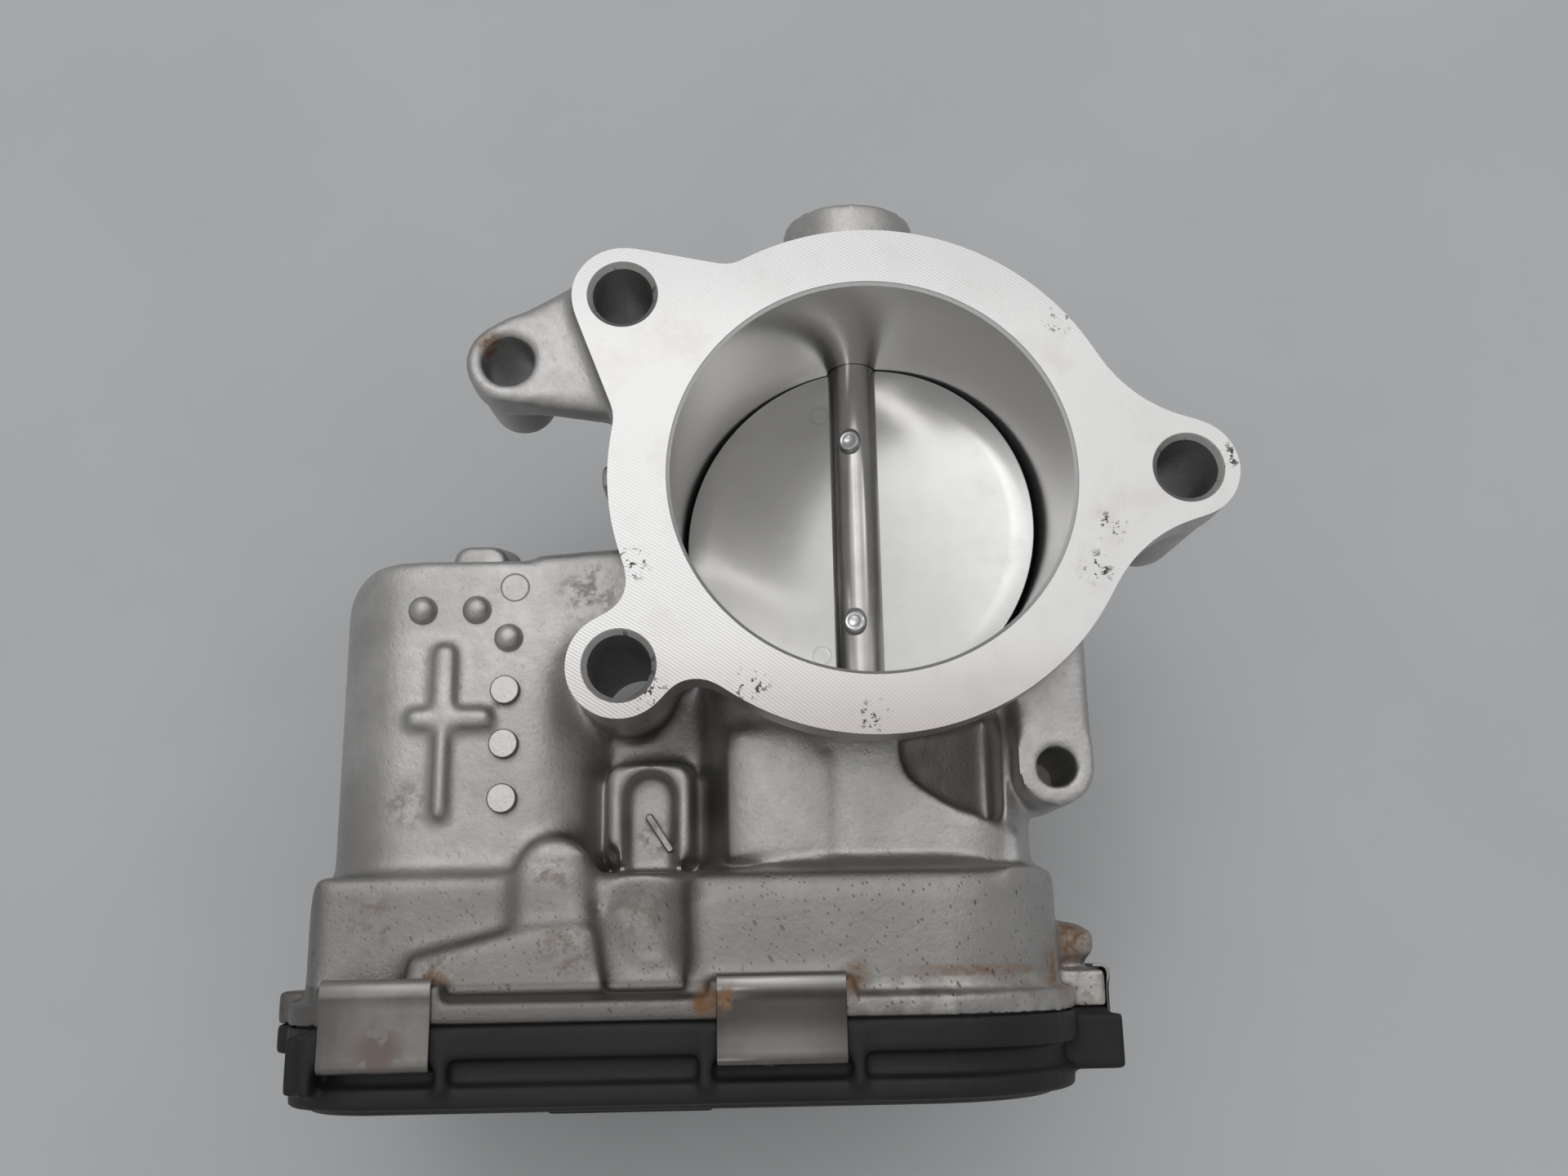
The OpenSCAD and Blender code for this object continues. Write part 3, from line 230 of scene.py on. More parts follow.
# Die-cast aluminium: satin and speckled as cast, bright where it was cut, with painted shade in its deep
# valleys and under the ring, and a painted falloff of light towards -Y laid over the gear case's darker tone.
# A spot is a centre and the radius where it ends; a range is where a tone starts and where it is full.
castFinish = {
    "cast": (0.51, 0.502, 0.495),
    "castDark": (0.4, 0.392, 0.384),
    # the gear case's darker tone, which also stands for painted shade where the light falls off
    "case": (0.2, 0.19, 0.18),
    "band": (0.14, 0.134, 0.127),
    "bandWorn": (0.55, 0.53, 0.49),
    "paintedShade": (0.13, 0.122, 0.115),
    "mark": (0.62, 0.6, 0.575),
    "cut": (0.6, 0.595, 0.59),
    "cutSmudge": (0.44, 0.42, 0.405),
    "cutNear": (0.39, 0.352, 0.338),
    "cutFar": (0.43, 0.427, 0.43),
    "bore": (0.84, 0.832, 0.818),
    "rust": (0.19, 0.09, 0.03),
    "grime": (0.2, 0.15, 0.115),
    "pit": (0.05, 0.045, 0.04),
    "faceFrom": -0.12,
    "boreRadius": 28.9,
    "boreFrom": -82.5,
    "caseRange": (-52, -57),
    "bandRange": (-68.2, -68.8),
    "rightRange": (-25, 15),
    # where painted shade for the light falling off towards -Y starts and is full; the next range eases it
    # towards +X
    "falloffRange": (-35, -45),
    "brightRange": (2, 20),
    "cutNearRange": (-22, -40),
    "cutFarRange": (18, 34),
    "ledge": ((-66.6, -67.6), (-68.4, -69.0)),
    "ledgeRust": ((-3, 20), (-16, -8)),
    "rustSpots": [((-4.2, -68.5, -4.5), 3.4), ((-23.8, -71.1, -4.5), 3.0), ((24.5, -65, -9), 5.0),
                  ((26.5, -68, -16), 6.0), ((29, -64, -27), 5.0), ((-59.8, -68.4, -8), 2.4),
                  ((-54.6, 20.9, -4), 3.2)],
    "grimeSpots": [((-41.1, -13.7, -13), 6.0), ((-31.7, -49.0, -17.6), 4.0), ((-38, -53.1, -12), 3.5),
                   ((-45, -54, -8), 5), ((-42.4, -64, -8), 5.5), ((21.7, -54.3, -10), 4.0),
                   ((-60, -66, -8), 5.0), ((31, -70, -26), 6.0), ((-31, -60, -12), 6.5),
                   ((-70, -60, -10), 6), ((-66, -44, -13), 5)],
    # painted shade: dark patches in the deep valleys round the window, the pad and the neck's left edge, and
    # the shadow of the ring and right ear on the neck
    "paintedShadeSpots": [((-31, -32, -22), 9), ((-22, -44, -19), 6), ((-43, -50, -15), 5), ((8, -40, -19), 9)],
    "pitSpots": [((-33.6, -13, 0), 3.2), ((-17.5, -30.6, 0), 3.4), ((-1.0, -34.8, 0), 3.2),
                 ((-30.6, -31.5, 0), 3.6), ((33.0, -8.5, 0), 3.0), ((30.6, -14.5, 0), 3.4),
                 ((50.5, 1.5, 0), 2.6), ((27.5, 22.5, 0), 2.6)],
    "marks": [(-52.6, -28.2, -11.6), (-52.6, -35.9, -11.6), (-52.6, -43.6, -11.6), (-51.7, -12.9, -13)],
    "markRadius": 2.0,
    "markRange": (-20, -24),
    "markStretch": (1, 1, 0.5),
    "grooveRadius": 2.02,
    "grooveWidth": (0.05, 0.16),
}


def cutTone(look):  # the mounting face: smudged, and duller towards both its ends
    s = castFinish
    smudge = look.ramp(look.noise(85, 4, 0.65), 0.48, 0.72)
    return look.layered(s["cut"], (smudge * 0.3, s["cutSmudge"]),
                        (look.along(look.y, *s["cutNearRange"]) * 0.75, s["cutNear"]),
                        (look.along(look.y, *s["cutFarRange"]) * 0.4, s["cutFar"]))


def castDirt(look, topFace):  # shares of grime, of rust and of pits in the mounting face
    s = castFinish
    ragged = look.ramp(look.noise(520, 5, 0.75), 0.44, 0.62)
    start, end = [look.along(look.y, *edge) for edge in s["ledge"]]
    across, up = [look.along(axis, *edge) for axis, edge in zip((look.x, look.z), s["ledgeRust"])]
    rust = look.spots(s["rustSpots"], start * (1 - end) * across * up * 0.8)
    rust = look.least(rust * (ragged * 0.8 + 0.5), 1.0) * 0.92
    grime = look.least(look.spots(s["grimeSpots"]) * ragged, 1.0) * 0.5
    pits = look.spots(s["pitSpots"]) * look.ramp(look.noise(700, 4, 0.75), 0.56, 0.6)
    return grime, rust, look.least(pits, 1.0) * topFace


def castBump(look, asCast, height, topFace, inBore, dents):
    # A grainy skin as cast, faint arcs on the mounting face and turning lines down the bore
    at = look.node("ShaderNodeMapping", {}, {"Vector": look.place, "Location": (0.14, 0.19, 0)})
    arcs = look.node("ShaderNodeTexWave", {"wave_type": "RINGS", "rings_direction": "Z"},
                     {"Vector": at, "Scale": 700.0, "Distortion": 0.6, "Detail": 1.0}, out="Fac")
    turning = look.node("ShaderNodeTexWave", {"bands_direction": "Z"},
                        {"Vector": look.place, "Scale": 900.0, "Distortion": 0.3}, out="Fac")
    skin = look.bump(height * asCast, 0.06, 0.6)
    skin = look.bump(arcs * topFace - dents, 0.02, 0.6, skin)
    return look.bump(turning * inBore, 0.001, 0.2, skin)


def castingLook():
    s = castFinish
    look = Look("cast aluminium", 0.85, 0.5)
    radius = look.maths("SQRT", look.x * look.x + look.y * look.y)
    topFace = look.z > s["faceFrom"] * mm
    inBore = (radius < s["boreRadius"] * mm) * (look.z > s["boreFrom"] * mm)
    asCast = 1 - look.most(topFace, inBore)
    blotch = look.noise(70, 4, 0.6)
    mottle = look.noise(420, 5, 0.7)
    grain = look.noise(1500, 3, 0.6)
    onCase = look.along(look.y, *s["caseRange"])
    onBand = look.along(look.y, *s["bandRange"])
    toRight = look.along(look.x, *s["rightRange"])
    amount = onCase * (toRight * 0.6 + 0.4) + 0.25
    specks = look.specks(650, (1, 2.2, 1), 0.17, 0.5) * amount
    specks = look.most(specks, look.specks(1500, (1, 1.8, 1), 0.25, 0.65) * amount * 0.7)
    # darker towards -Y: partly painted shade for the light falling off towards the bottom, partly the gear
    # case's darker tone; the painted shade eases towards +X
    caseToneAndFalloff = look.along(look.y, *s["falloffRange"]) * 0.3 + onCase * 0.48
    paintedShade, mark = 0.0, 0.0
    # painted shade in the deep valleys and under the ring, the strongest patch at each place
    for centre, size in s["paintedShadeSpots"]:
        paintedShade = look.most(look.spot(centre, size), paintedShade)
    for centre in s["marks"]:
        mark = look.most(mark, look.distance(centre, s["markStretch"]) < s["markRadius"] * mm)
    groove = look.rings(s["marks"], s["grooveRadius"], s["grooveWidth"], s["markStretch"])
    grime, rust, pits = castDirt(look, topFace)
    colour = look.layered(s["castDark"], (look.ramp(blotch, 0.32, 0.68), s["cast"]),
                          (look.ramp(mottle, 0.42, 0.62) * 0.35, s["castDark"]),
                          (caseToneAndFalloff * (1 - look.along(look.x, *s["brightRange"]) * 0.6), s["case"]),
                          (onBand * (1 - toRight) * 0.75, s["band"]),
                          # painted shade
                          (paintedShade * 0.6, s["paintedShade"]),
                          (onBand * toRight * look.ramp(look.noise(260, 4), 0.4, 0.6) * 0.5, s["bandWorn"]),
                          (mark * look.along(look.y, *s["markRange"]) * 0.8, s["mark"]),
                          (topFace, cutTone(look)), (inBore, s["bore"]),
                          (grime, s["grime"]), (rust, s["rust"]),
                          (look.most(pits, specks * asCast * 0.5), s["pit"]),
                          (groove * asCast * 0.6, s["pit"]))
    dull = look.most(grime, look.most(rust, pits))
    height = grain + mottle * 2.8 + blotch * 2 - specks * 2
    skin = castBump(look, asCast, height, topFace, inBore, pits * 3 + groove * 4 * asCast)
    rough = 0.34 - topFace * 0.02 - inBore * 0.14 + grain * 0.05 + mottle * asCast * 0.14 + dull * 0.3
    return look.finish(Base_Color=colour, Roughness=rough, Metallic=0.92 - dull * 0.7, Normal=skin)


# Black moulded plastic with a little dust and scuffing
coverFinish = {
    "dark": (0.0085, 0.009, 0.0102),
    "light": (0.013, 0.0138, 0.0155),
    "dust": (0.03, 0.029, 0.028),
    "scuff": (0.05, 0.05, 0.053),
}


def coverLook():
    s = coverFinish
    look = Look("black cover plastic", 0.0, 0.5, Specular_IOR_Level=0.32)
    fibre = look.noise(1400, 3, 0.65)
    scuff = look.ramp(look.noise(260, 4, 0.7, (1, 0.25, 1)), 0.62, 0.75)
    dust = look.ramp(look.noise(35, 5, 0.65), 0.42, 0.75)
    colour = look.layered(s["dark"], (look.ramp(look.noise(60, 4), 0.3, 0.7), s["light"]),
                          (dust * 0.3, s["dust"]), (scuff * 0.25, s["scuff"]))
    return look.finish(Base_Color=colour, Roughness=0.46 + fibre * 0.16 + dust * 0.08,
                       Normal=look.bump(fibre, 0.03, 0.5))


# Rolled steel, duller on the left clip, with a dark band along the crown, a bright bead, a painted
# highlight along the hook, a stain and some rust
clipFinish = {
    "dark": (0.165, 0.156, 0.147),
    "light": (0.215, 0.204, 0.193),
    "lines": (0.27, 0.26, 0.25),
    "mirror": (0.1, 0.098, 0.095),
    "band": (0.04, 0.039, 0.038),
    "bead": (0.42, 0.405, 0.39),
    "hook": (0.5, 0.48, 0.45),
    "smudge": (0.15, 0.136, 0.122),
    "stain": (0.17, 0.12, 0.1),
    "rust": (0.3, 0.15, 0.06),
    "mirrorRange": (-50, -30),
    "bandEdges": ((-69.6, -70.8), (-73.2, -76.8)),
    # where the painted highlight along the hook's rounded lower edge starts and is full
    "beadRange": (-70.2, -69.5),
    "hookRange": (-79.3, -79.7),
    "stainSpot": ((-66.1, -76.6, -3.3), 4.4),
    "hookRust": ((-14, -79.7, -3.6), 10.0, (1, 7, 2)),
    "rustSpots": [((-6, -69.5, -3.6), 4.5), ((-22, -71, -3.6), 3.5)],
}


def clipLook():
    s = clipFinish
    look = Look("rolled clip steel", 0.95, 0.34)
    lines = look.noise(520, 4, 0.6, (1, 0.06, 1))
    mirror = look.along(look.x, *s["mirrorRange"])
    stain = look.spot(*s["stainSpot"]) * look.ramp(look.noise(330, 3, 0.6), 0.42, 0.47)
    smudge = look.ramp(look.noise(160, 5, 0.7), 0.5, 0.7)
    rust = look.spots(s["rustSpots"], look.spot(*s["hookRust"]))
    rust = look.least(rust * look.ramp(look.noise(240, 4, 0.7), 0.5, 0.66), 1.0)
    start, end = [look.along(look.y, *edge) for edge in s["bandEdges"]]
    colour = look.layered(s["dark"], (look.ramp(look.noise(120, 4, 0.6), 0.3, 0.7), s["light"]),
                          (look.ramp(lines, 0.35, 0.7) * 0.3, s["lines"]),
                          (mirror * 0.35, s["mirror"]),
                          (start * (1 - end) * mirror * 0.66, s["band"]),
                          (look.along(look.y, *s["beadRange"]) * 0.55, s["bead"]),
                          # painted highlight along the hook's rounded lower edge
                          (look.along(look.y, *s["hookRange"]) * 0.5, s["hook"]),
                          (smudge * (1 - mirror) * 0.3, s["smudge"]),
                          (stain * 0.65, s["stain"]), (rust * 0.8, s["rust"]))
    rough = 0.38 - mirror * 0.16 + lines * 0.1 + stain * 0.2 + rust * 0.25
    return look.finish(Base_Color=colour, Roughness=rough, Metallic=0.95 - stain * 0.4 - rust * 0.5,
                       Normal=look.bump(lines, 0.005, 0.35))


def groundLook(name, colour, roughness, lineScale=700, lineAxis=(1, 0.05, 1)):  # ground or drawn bare metal
    look = Look(name, 1.0, roughness)
    lines = look.noise(lineScale, 3, 0.6, lineAxis)
    dark = tuple(c * 0.82 for c in colour)
    mixed = look.blend(look.ramp(look.noise(110, 3) + lines * 0.3, 0.45, 0.85), dark, colour)
    return look.finish(Base_Color=mixed, Roughness=roughness - 0.04 + lines * 0.09,
                       Normal=look.bump(lines, 0.004, 0.3))


# Satin plate with fine drawn lines, faint smears and a pressed ring round each screw
plateFinish = {
    "dark": (0.50, 0.497, 0.49),
    "light": (0.57, 0.567, 0.56),
    "smear": (0.44, 0.43, 0.415),
    "ring": (0.25, 0.25, 0.25),
    "rings": [(-5.6, 21.2, -34.0), (-6.2, -19.5, -34.0)],
    "ringRadius": 1.45,
    "ringWidth": (0.06, 0.28),
    "ringStretch": (1, 1, 0.2),
}


def plateLook():
    s = plateFinish
    look = Look("satin plate", 1.0, 0.3)
    lines = look.noise(2600, 2, 0.5, (0.04, 1, 1))
    smear = look.ramp(look.noise(120, 5, 0.7), 0.5, 0.75)
    ring = look.rings(s["rings"], s["ringRadius"], s["ringWidth"], s["ringStretch"])
    colour = look.layered(s["dark"], (look.ramp(look.noise(45, 4, 0.6), 0.3, 0.7), s["light"]),
                          (smear * 0.2, s["smear"]), (ring * 0.25, s["ring"]))
    skin = look.bump(lines, 0.0008, 0.2)
    return look.finish(Base_Color=colour, Roughness=0.2 + lines * 0.05 + smear * 0.06,
                       Normal=look.bump(1 - ring, 0.03, 0.5, skin))


def mouldedLook(name, colour, roughness, grain=900):  # plain moulded plastic, rubber or sintered magnet
    look = Look(name, 0.0, roughness)
    fine = look.noise(grain, 3, 0.6)
    dark = tuple(c * 0.8 for c in colour)
    mixed = look.blend(look.ramp(look.noise(90, 3), 0.3, 0.7), dark, colour)
    return look.finish(Base_Color=mixed, Roughness=roughness - 0.05 + fine * 0.12,
                       Normal=look.bump(fine, 0.02, 0.4))


def boardLook():
    look = Look("circuit board", 0.0, 0.4)
    tracks = look.node("ShaderNodeTexBrick", {"offset": 0.5},
                       {"Vector": look.place, "Scale": 260.0, "Mortar Size": 0.03}, out="Fac")
    colour = look.blend(tracks * 0.5, (0.012, 0.07, 0.03), (0.03, 0.13, 0.06))
    return look.finish(Base_Color=colour, Roughness=0.35 + tracks * 0.15, Normal=look.bump(tracks, 0.03, 0.4))


looks = {
    "cast_aluminium": castingLook(),
    "cover_plastic": coverLook(),
    "clip_steel": clipLook(),
    "plate_metal": plateLook(),
    "shaft_steel": groundLook("ground shaft steel", (0.42, 0.412, 0.4), 0.19),
    "screw_steel": groundLook("zinc plated steel", (0.72, 0.73, 0.74), 0.26, 900, (1, 1, 1)),
    "bearing_steel": groundLook("polished bearing steel", (0.66, 0.66, 0.66), 0.12),
    "spring_steel": groundLook("oiled spring wire", (0.22, 0.22, 0.23), 0.3),
    "motor_steel": groundLook("drawn motor steel", (0.5, 0.5, 0.49), 0.32),
    "copper": groundLook("winding copper", (0.72, 0.36, 0.2), 0.35, 1100, (1, 1, 0.1)),
    "brass": groundLook("brass", (0.74, 0.58, 0.28), 0.28),
    "gasket_rubber": mouldedLook("gasket rubber", (0.03, 0.03, 0.03), 0.7),
    "gear_plastic": mouldedLook("natural nylon", (0.70, 0.66, 0.54), 0.42, 1300),
    "bush_plastic": mouldedLook("bush plastic", (0.05, 0.05, 0.05), 0.5),
    "magnet": mouldedLook("sintered magnet", (0.06, 0.06, 0.065), 0.55, 2000),
    "board": boardLook(),
}
for node in frame["nodes"].values():
    for index, material in enumerate(node.data.materials):
        node.data.materials[index] = looks[material.name]
print("finishes made:", len(looks))


def meshOf(name, points, faces):
    mesh = bpy.data.meshes.new(name)
    mesh.from_pydata(np.asarray(points).tolist(), [], [list(face) for face in faces])
    mesh.validate()
    return mesh


def pointsOf(mesh):
    flat = np.empty(len(mesh.vertices) * 3)
    mesh.vertices.foreach_get("co", flat)
    return flat.reshape(-1, 3)


def edgesOf(mesh):
    flat = np.empty(len(mesh.edges) * 2, dtype=np.int32)
    mesh.edges.foreach_get("vertices", flat)
    return flat.reshape(-1, 2)


def addPiece(name, mesh, body, slot, *nodes, smoothAngle=32):
    mesh.name = name
    mesh.materials.clear()
    mesh.materials.append(looks[slot])
    mesh.polygons.foreach_set("use_smooth", np.ones(len(mesh.polygons), dtype=bool))
    mesh.set_sharp_from_angle(angle=math.radians(smoothAngle))
    piece = bpy.data.objects.new(name, mesh)
    scene.collection.objects.link(piece)
    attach(piece, body)
    if nodes:
        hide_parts(*nodes)
    mesh.calc_loop_triangles()
    print("piece", name, len(mesh.loop_triangles), "triangles")
    return piece


def evaluated(mesh, kind, **settings):  # the mesh that a modifier makes of another
    work = bpy.data.objects.new("work", mesh)
    scene.collection.objects.link(work)
    modifier = work.modifiers.new(kind, kind)
    for name, value in settings.items():
        setattr(modifier, name, value)
    made = bpy.data.meshes.new_from_object(work.evaluated_get(bpy.context.evaluated_depsgraph_get()))
    bpy.data.objects.remove(work)
    return made


def cutBy(mesh, cutters, operation="DIFFERENCE"):  # the mesh less, or with, a list of closed solids
    for cutter in cutters:
        tool = bpy.data.objects.new("tool", cutter)
        scene.collection.objects.link(tool)
        tool.hide_render = True
        mesh = evaluated(mesh, "BOOLEAN", operation=operation, solver="MANIFOLD", object=tool)
        bpy.data.objects.remove(tool)
    return mesh


def welded(mesh, faceOut=False):  # the mesh with points that coincide made one
    work = bmesh.new()
    work.from_mesh(mesh)
    bmesh.ops.remove_doubles(work, verts=work.verts, dist=weld)
    if faceOut:
        bmesh.ops.recalc_face_normals(work, faces=work.faces)
    work.to_mesh(mesh)
    work.free()
    return mesh


def joined(*meshes):  # several closed solids in one mesh
    work = bmesh.new()
    for mesh in meshes:
        work.from_mesh(mesh)
    made = bpy.data.meshes.new("joined")
    work.to_mesh(made)
    work.free()
    return made


def stacked(rings):
    # Closed solid whose skin joins loops of equal length, each loop a row of points,
    # with the first and last loops capped by the last two faces
    rings = np.asarray(rings, dtype=float)
    rows, count, _ = rings.shape
    row, column = np.meshgrid(np.arange(rows - 1), np.arange(count), indexing="ij")
    ahead = (column + 1) % count
    sides = np.stack([row * count + column, row * count + ahead, (row + 1) * count + ahead,
                      (row + 1) * count + column], axis=-1).reshape(-1, 4)
    caps = [list(range(count))[::-1], [(rows - 1) * count + k for k in range(count)]]
    return rings.reshape(-1, 3), sides.tolist() + caps


def turned(profile, centre, steps=64, axis="z"):
    # Solid of revolution: at each (radius, height) of the profile a circle of that
    # radius stands that far along the axis from the centre
    profile = np.asarray(profile, dtype=float) * mm
    angle = np.linspace(0, 2 * np.pi, steps, endpoint=False)
    radius, height = profile[:, :1], profile[:, 1:]
    across, up = radius * np.cos(angle), radius * np.sin(angle)
    along = height + 0 * angle
    order = (across, up, along) if axis == "z" else (-across, along, up)
    return stacked(np.stack(order, axis=-1) + np.asarray(centre, dtype=float) * mm)


def rod(radius, low, high, centre, steps=64, axis="z"):  # plain cylinder between two heights
    return turned([(0, low), (radius, low), (radius, high), (0, high)], centre, steps, axis)


def lofted(levels):  # closed solid through outlines: (height, its corners in x and y) from below upwards
    return stacked(np.array([[(x, y, z) for x, y in outline] for z, outline in levels]) * mm)


def carried(outline, start, end):  # closed solid that an outline in x and z makes between two places on Y
    return stacked(np.array([[(x, y, z) for x, z in outline] for y in (start, end)]) * mm)


def solid(name, made):
    return welded(meshOf(name, *made), faceOut=True)


def roundedBox(box, radius, foot, corner=9):
    # Loop round a rectangle: four quarter circles, the two at low Y with a radius of their own
    x0, y0, x1, y1 = box
    loop = []
    for cx, cy, r, start in ((x1 - radius, y1 - radius, radius, 0), (x0 + radius, y1 - radius, radius, 90),
                             (x0 + foot, y0 + foot, foot, 180), (x1 - foot, y0 + foot, foot, 270)):
        angle = np.radians(np.linspace(start, start + 90, corner))
        loop.append(np.stack([cx + r * np.cos(angle), cy + r * np.sin(angle)], axis=1))
    return np.concatenate(loop)


def mound(box, levels, radius, foot=None):
    # Block with sloping sides: at each (height, outset) the rectangle's loop, grown by the
    # outset; a rectangle is (low x, low y, high x, high y), its corners at low Y may differ
    x0, y0, x1, y1 = box
    rings = []
    for z, grow in levels:
        corners = [max(r + grow, 0.1) for r in (radius, radius if foot is None else foot)]
        loop = roundedBox((x0 - grow, y0 - grow, x1 + grow, y1 + grow), *corners)
        rings.append(np.column_stack([loop, np.full(len(loop), z)]) * mm)
    return solid("mound", stacked(rings))


def drill(place, radius, depth, chamfer, over, steps=64):
    # Cutter for a hole: a cylinder that widens at 45 degrees from the chamfer's depth
    # to a height over the surface
    profile = [(0, -depth), (radius, -depth), (radius, -chamfer), (radius + chamfer, 0),
               (radius + chamfer + over, over), (0, over)]
    return solid("drill", turned(profile, place, steps))


def step(value, low, high):  # smooth 0 to 1 between two values
    t = np.clip((value - low) / (high - low), 0, 1)
    return t * t * (3 - 2 * t)


def within(value, low, high, soft):  # 1 between two values, falling to 0 over a soft edge outside them
    return step(value, low - soft, low) * (1 - step(value, high, high + soft))


def relaxed(points, edges, share, passes, pull=0.7):
    # Each pass draws every point towards the mean of its neighbours, by its own
    # share, which rounds edges and fills corners and leaves flats where they are
    count = np.bincount(edges.ravel(), minlength=len(points))[:, None]
    first, second = edges.T
    for _ in range(passes):
        sums = [np.bincount(first, points[second, axis], len(points)) +
                np.bincount(second, points[first, axis], len(points)) for axis in range(3)]
        points = points + pull * share[:, None] * (np.stack(sums, axis=1) / count - points)
    return points


# The casting: the CAD housing with cast radii, small cast details and cut faces.
# Bolt holes are (x, y), the ears' holes (x, y, top, radius, depth).
bolts = [(44.6, 0), (-35.289, 27.274), (-35.289, -27.274)]
ears = [(-51.989, 18.374, -2.6, 3.7, 22), (25.3, -40.6, -10.0, 2.75, 18)]
motorTop = -13.0
casting = {
    "voxel": 0.5,
    "passes": 24,
    "keep": 0.24,
    "faceFrom": -0.79,
    "faceLift": 3.0,
    "nearBore": 28.9,
    "drawnTo": 27.9,
    "longEdge": (("x", -46, 16, 2), ("y", -57.5, -52.8, 1.2)),
    "longEdgeTop": (-13.6, -12.2),
    "longEdgePasses": 55,
}

# Where the casting relaxes less: how much less, then axes with their low end, high end
# and soft edge, for the motor housing's top, the window and the neck; the joint flange
# and the far boss from one place on Y; round the holes, and not at all on inner walls
crisp = {
    "boxes": [(0.82, ("z", -14.8, 0, 0.6), ("x", -70, -51.5, 1), ("y", -49, -18.5, 1)),
              (0.75, ("x", -39, -25.5, 1), ("y", -54, -37.7, 1), ("z", -30, -8, 1)),
              (0.6, ("x", -23, 22, 1), ("y", -54, -37, 1), ("z", -15, -9, 0.6))],
    "jointFlange": (0.88, -66.5, -69),
    "farBoss": (0.8, 50, 52),
    "ear": 0.8,
    "earRound": (3, 5),
    "earDepth": (9, 7),
    "boltRound": (4.7, 5.2),
    "bore": 28.8,
    "seats": (8.3, 28.5),
    "motor": (-58.4, 15.6, -5),
    "caseTop": -56.5,
    "caseInside": (("x", -77.5, 24.6, 0.01), ("z", -57.6, -13.2, 0.01)),
}


def inside(points, ranges, share=1.0):  # the share, times the soft range on each axis in turn
    for axis, low, high, soft in ranges:
        share = share * within(points["xyz".index(axis)], low, high, soft)
    return share


def castShare(points):
    # How much each place may relax: 1 gives a full cast radius and 0 keeps the CAD's
    # wall; every rule takes its part off, by smooth steps
    axes = points.T / mm
    x, y, z = axes
    share = np.ones(len(points))
    for less, *ranges in crisp["boxes"]:
        share *= 1 - inside(axes, ranges, less)
    for less, start, full in (crisp["jointFlange"], crisp["farBoss"]):
        share *= 1 - less * step(y, start, full)
    (rim, edge), (deep, shallow) = crisp["earRound"], crisp["earDepth"]
    for cx, cy, top, hole, _ in ears:
        near = 1 - step(np.hypot(x - cx, y - cy), hole + rim, hole + edge)
        share *= 1 - crisp["ear"] * near * step(z, top - deep, top - shallow)
    for cx, cy in bolts:
        share *= step(np.hypot(x - cx, y - cy), *crisp["boltRound"])
    seat, seatFrom = crisp["seats"]
    motorX, motorRadius, motorTo = crisp["motor"]
    inner = np.hypot(x, y) < crisp["bore"]
    inner |= (np.hypot(x, z + axisDepth) < seat) & (np.abs(y) > seatFrom)
    inner |= (np.hypot(x - motorX, z + axisDepth) < motorRadius) & (y < motorTo)
    inner |= (y < crisp["caseTop"]) & (inside(axes, crisp["caseInside"]) > 0)
    return np.where(inner, 0, share)


# Raised forms of the casting. A block is (rectangle, levels, corner radius), and one has
# another radius at low Y.
raised = {
    "bars": [((-63.4, -32.0, -59.2, -21.0), 1.7), ((-62.9, -46.9, -59.8, -32.0), 1.4),
             ((-67.0, -34.1, -53.8, -30.2), 1.8)],
    "barSlope": [(-2, 0.45), (0, 0.0), (0.7, -0.4), (1.4, -0.75), (1.75, -1.05)],
    "hub": (-61.3, -32.1),
    "hubProfile": [(0, -2), (3.6, -2), (3.2, 0), (2.5, 0.9), (1.7, 1.6), (0, 1.75)],
    "frame": ((-38.0, -53.0, -26.3, -38.7), [(-25, 1.2), (-16.4, 0.3), (-14.7, 0), (-14.2, -0.45)], 2.2),
    "recess": ((-36.1, -58, -27.9, -39.4), [(-17.8, -1.1), (-16.8, -0.8), (-14.6, -0.2), (-13.0, 0.3)],
               4.0, 1.0),
    "notch": ((-39.5, -55, -36.4, -50.2), [(-17.5, -0.4), (-12, 0.4)], 0.8),
    "panel": [(-21.5, -16), (-21.0, -13.6), (-18.6, -12.8), (-15.5, -12.4), (-8.9, -12.2), (-8.3, -12.4),
              (-8, -13), (-7.8, -16)],
    "panelRun": (-52.6, -34),
    "post": ((18.3, -54, 21.0, -48.9), [(-30, 0.3), (-15.6, 0), (-15.2, -0.4)], 0.7),
    "topEdge": [(-49, -7.5), (-35, -6.4), (-35, -12), (-49, -12)],
    "topEdgeLevels": (-26, -13.6),
    "tab": ((-61.8, -11, -54.0, -5.0), [(-27, 0.9), (-19, 0.2), (-18.2, -0.5)], 2.5),
    "lugFiller": ((24, -69, 31.2, -61.5), [(-40.5, 0), (-28.6, 0), (-28.0, -0.5)], 0.6),
    "column": (6.9, -20, -7),
}


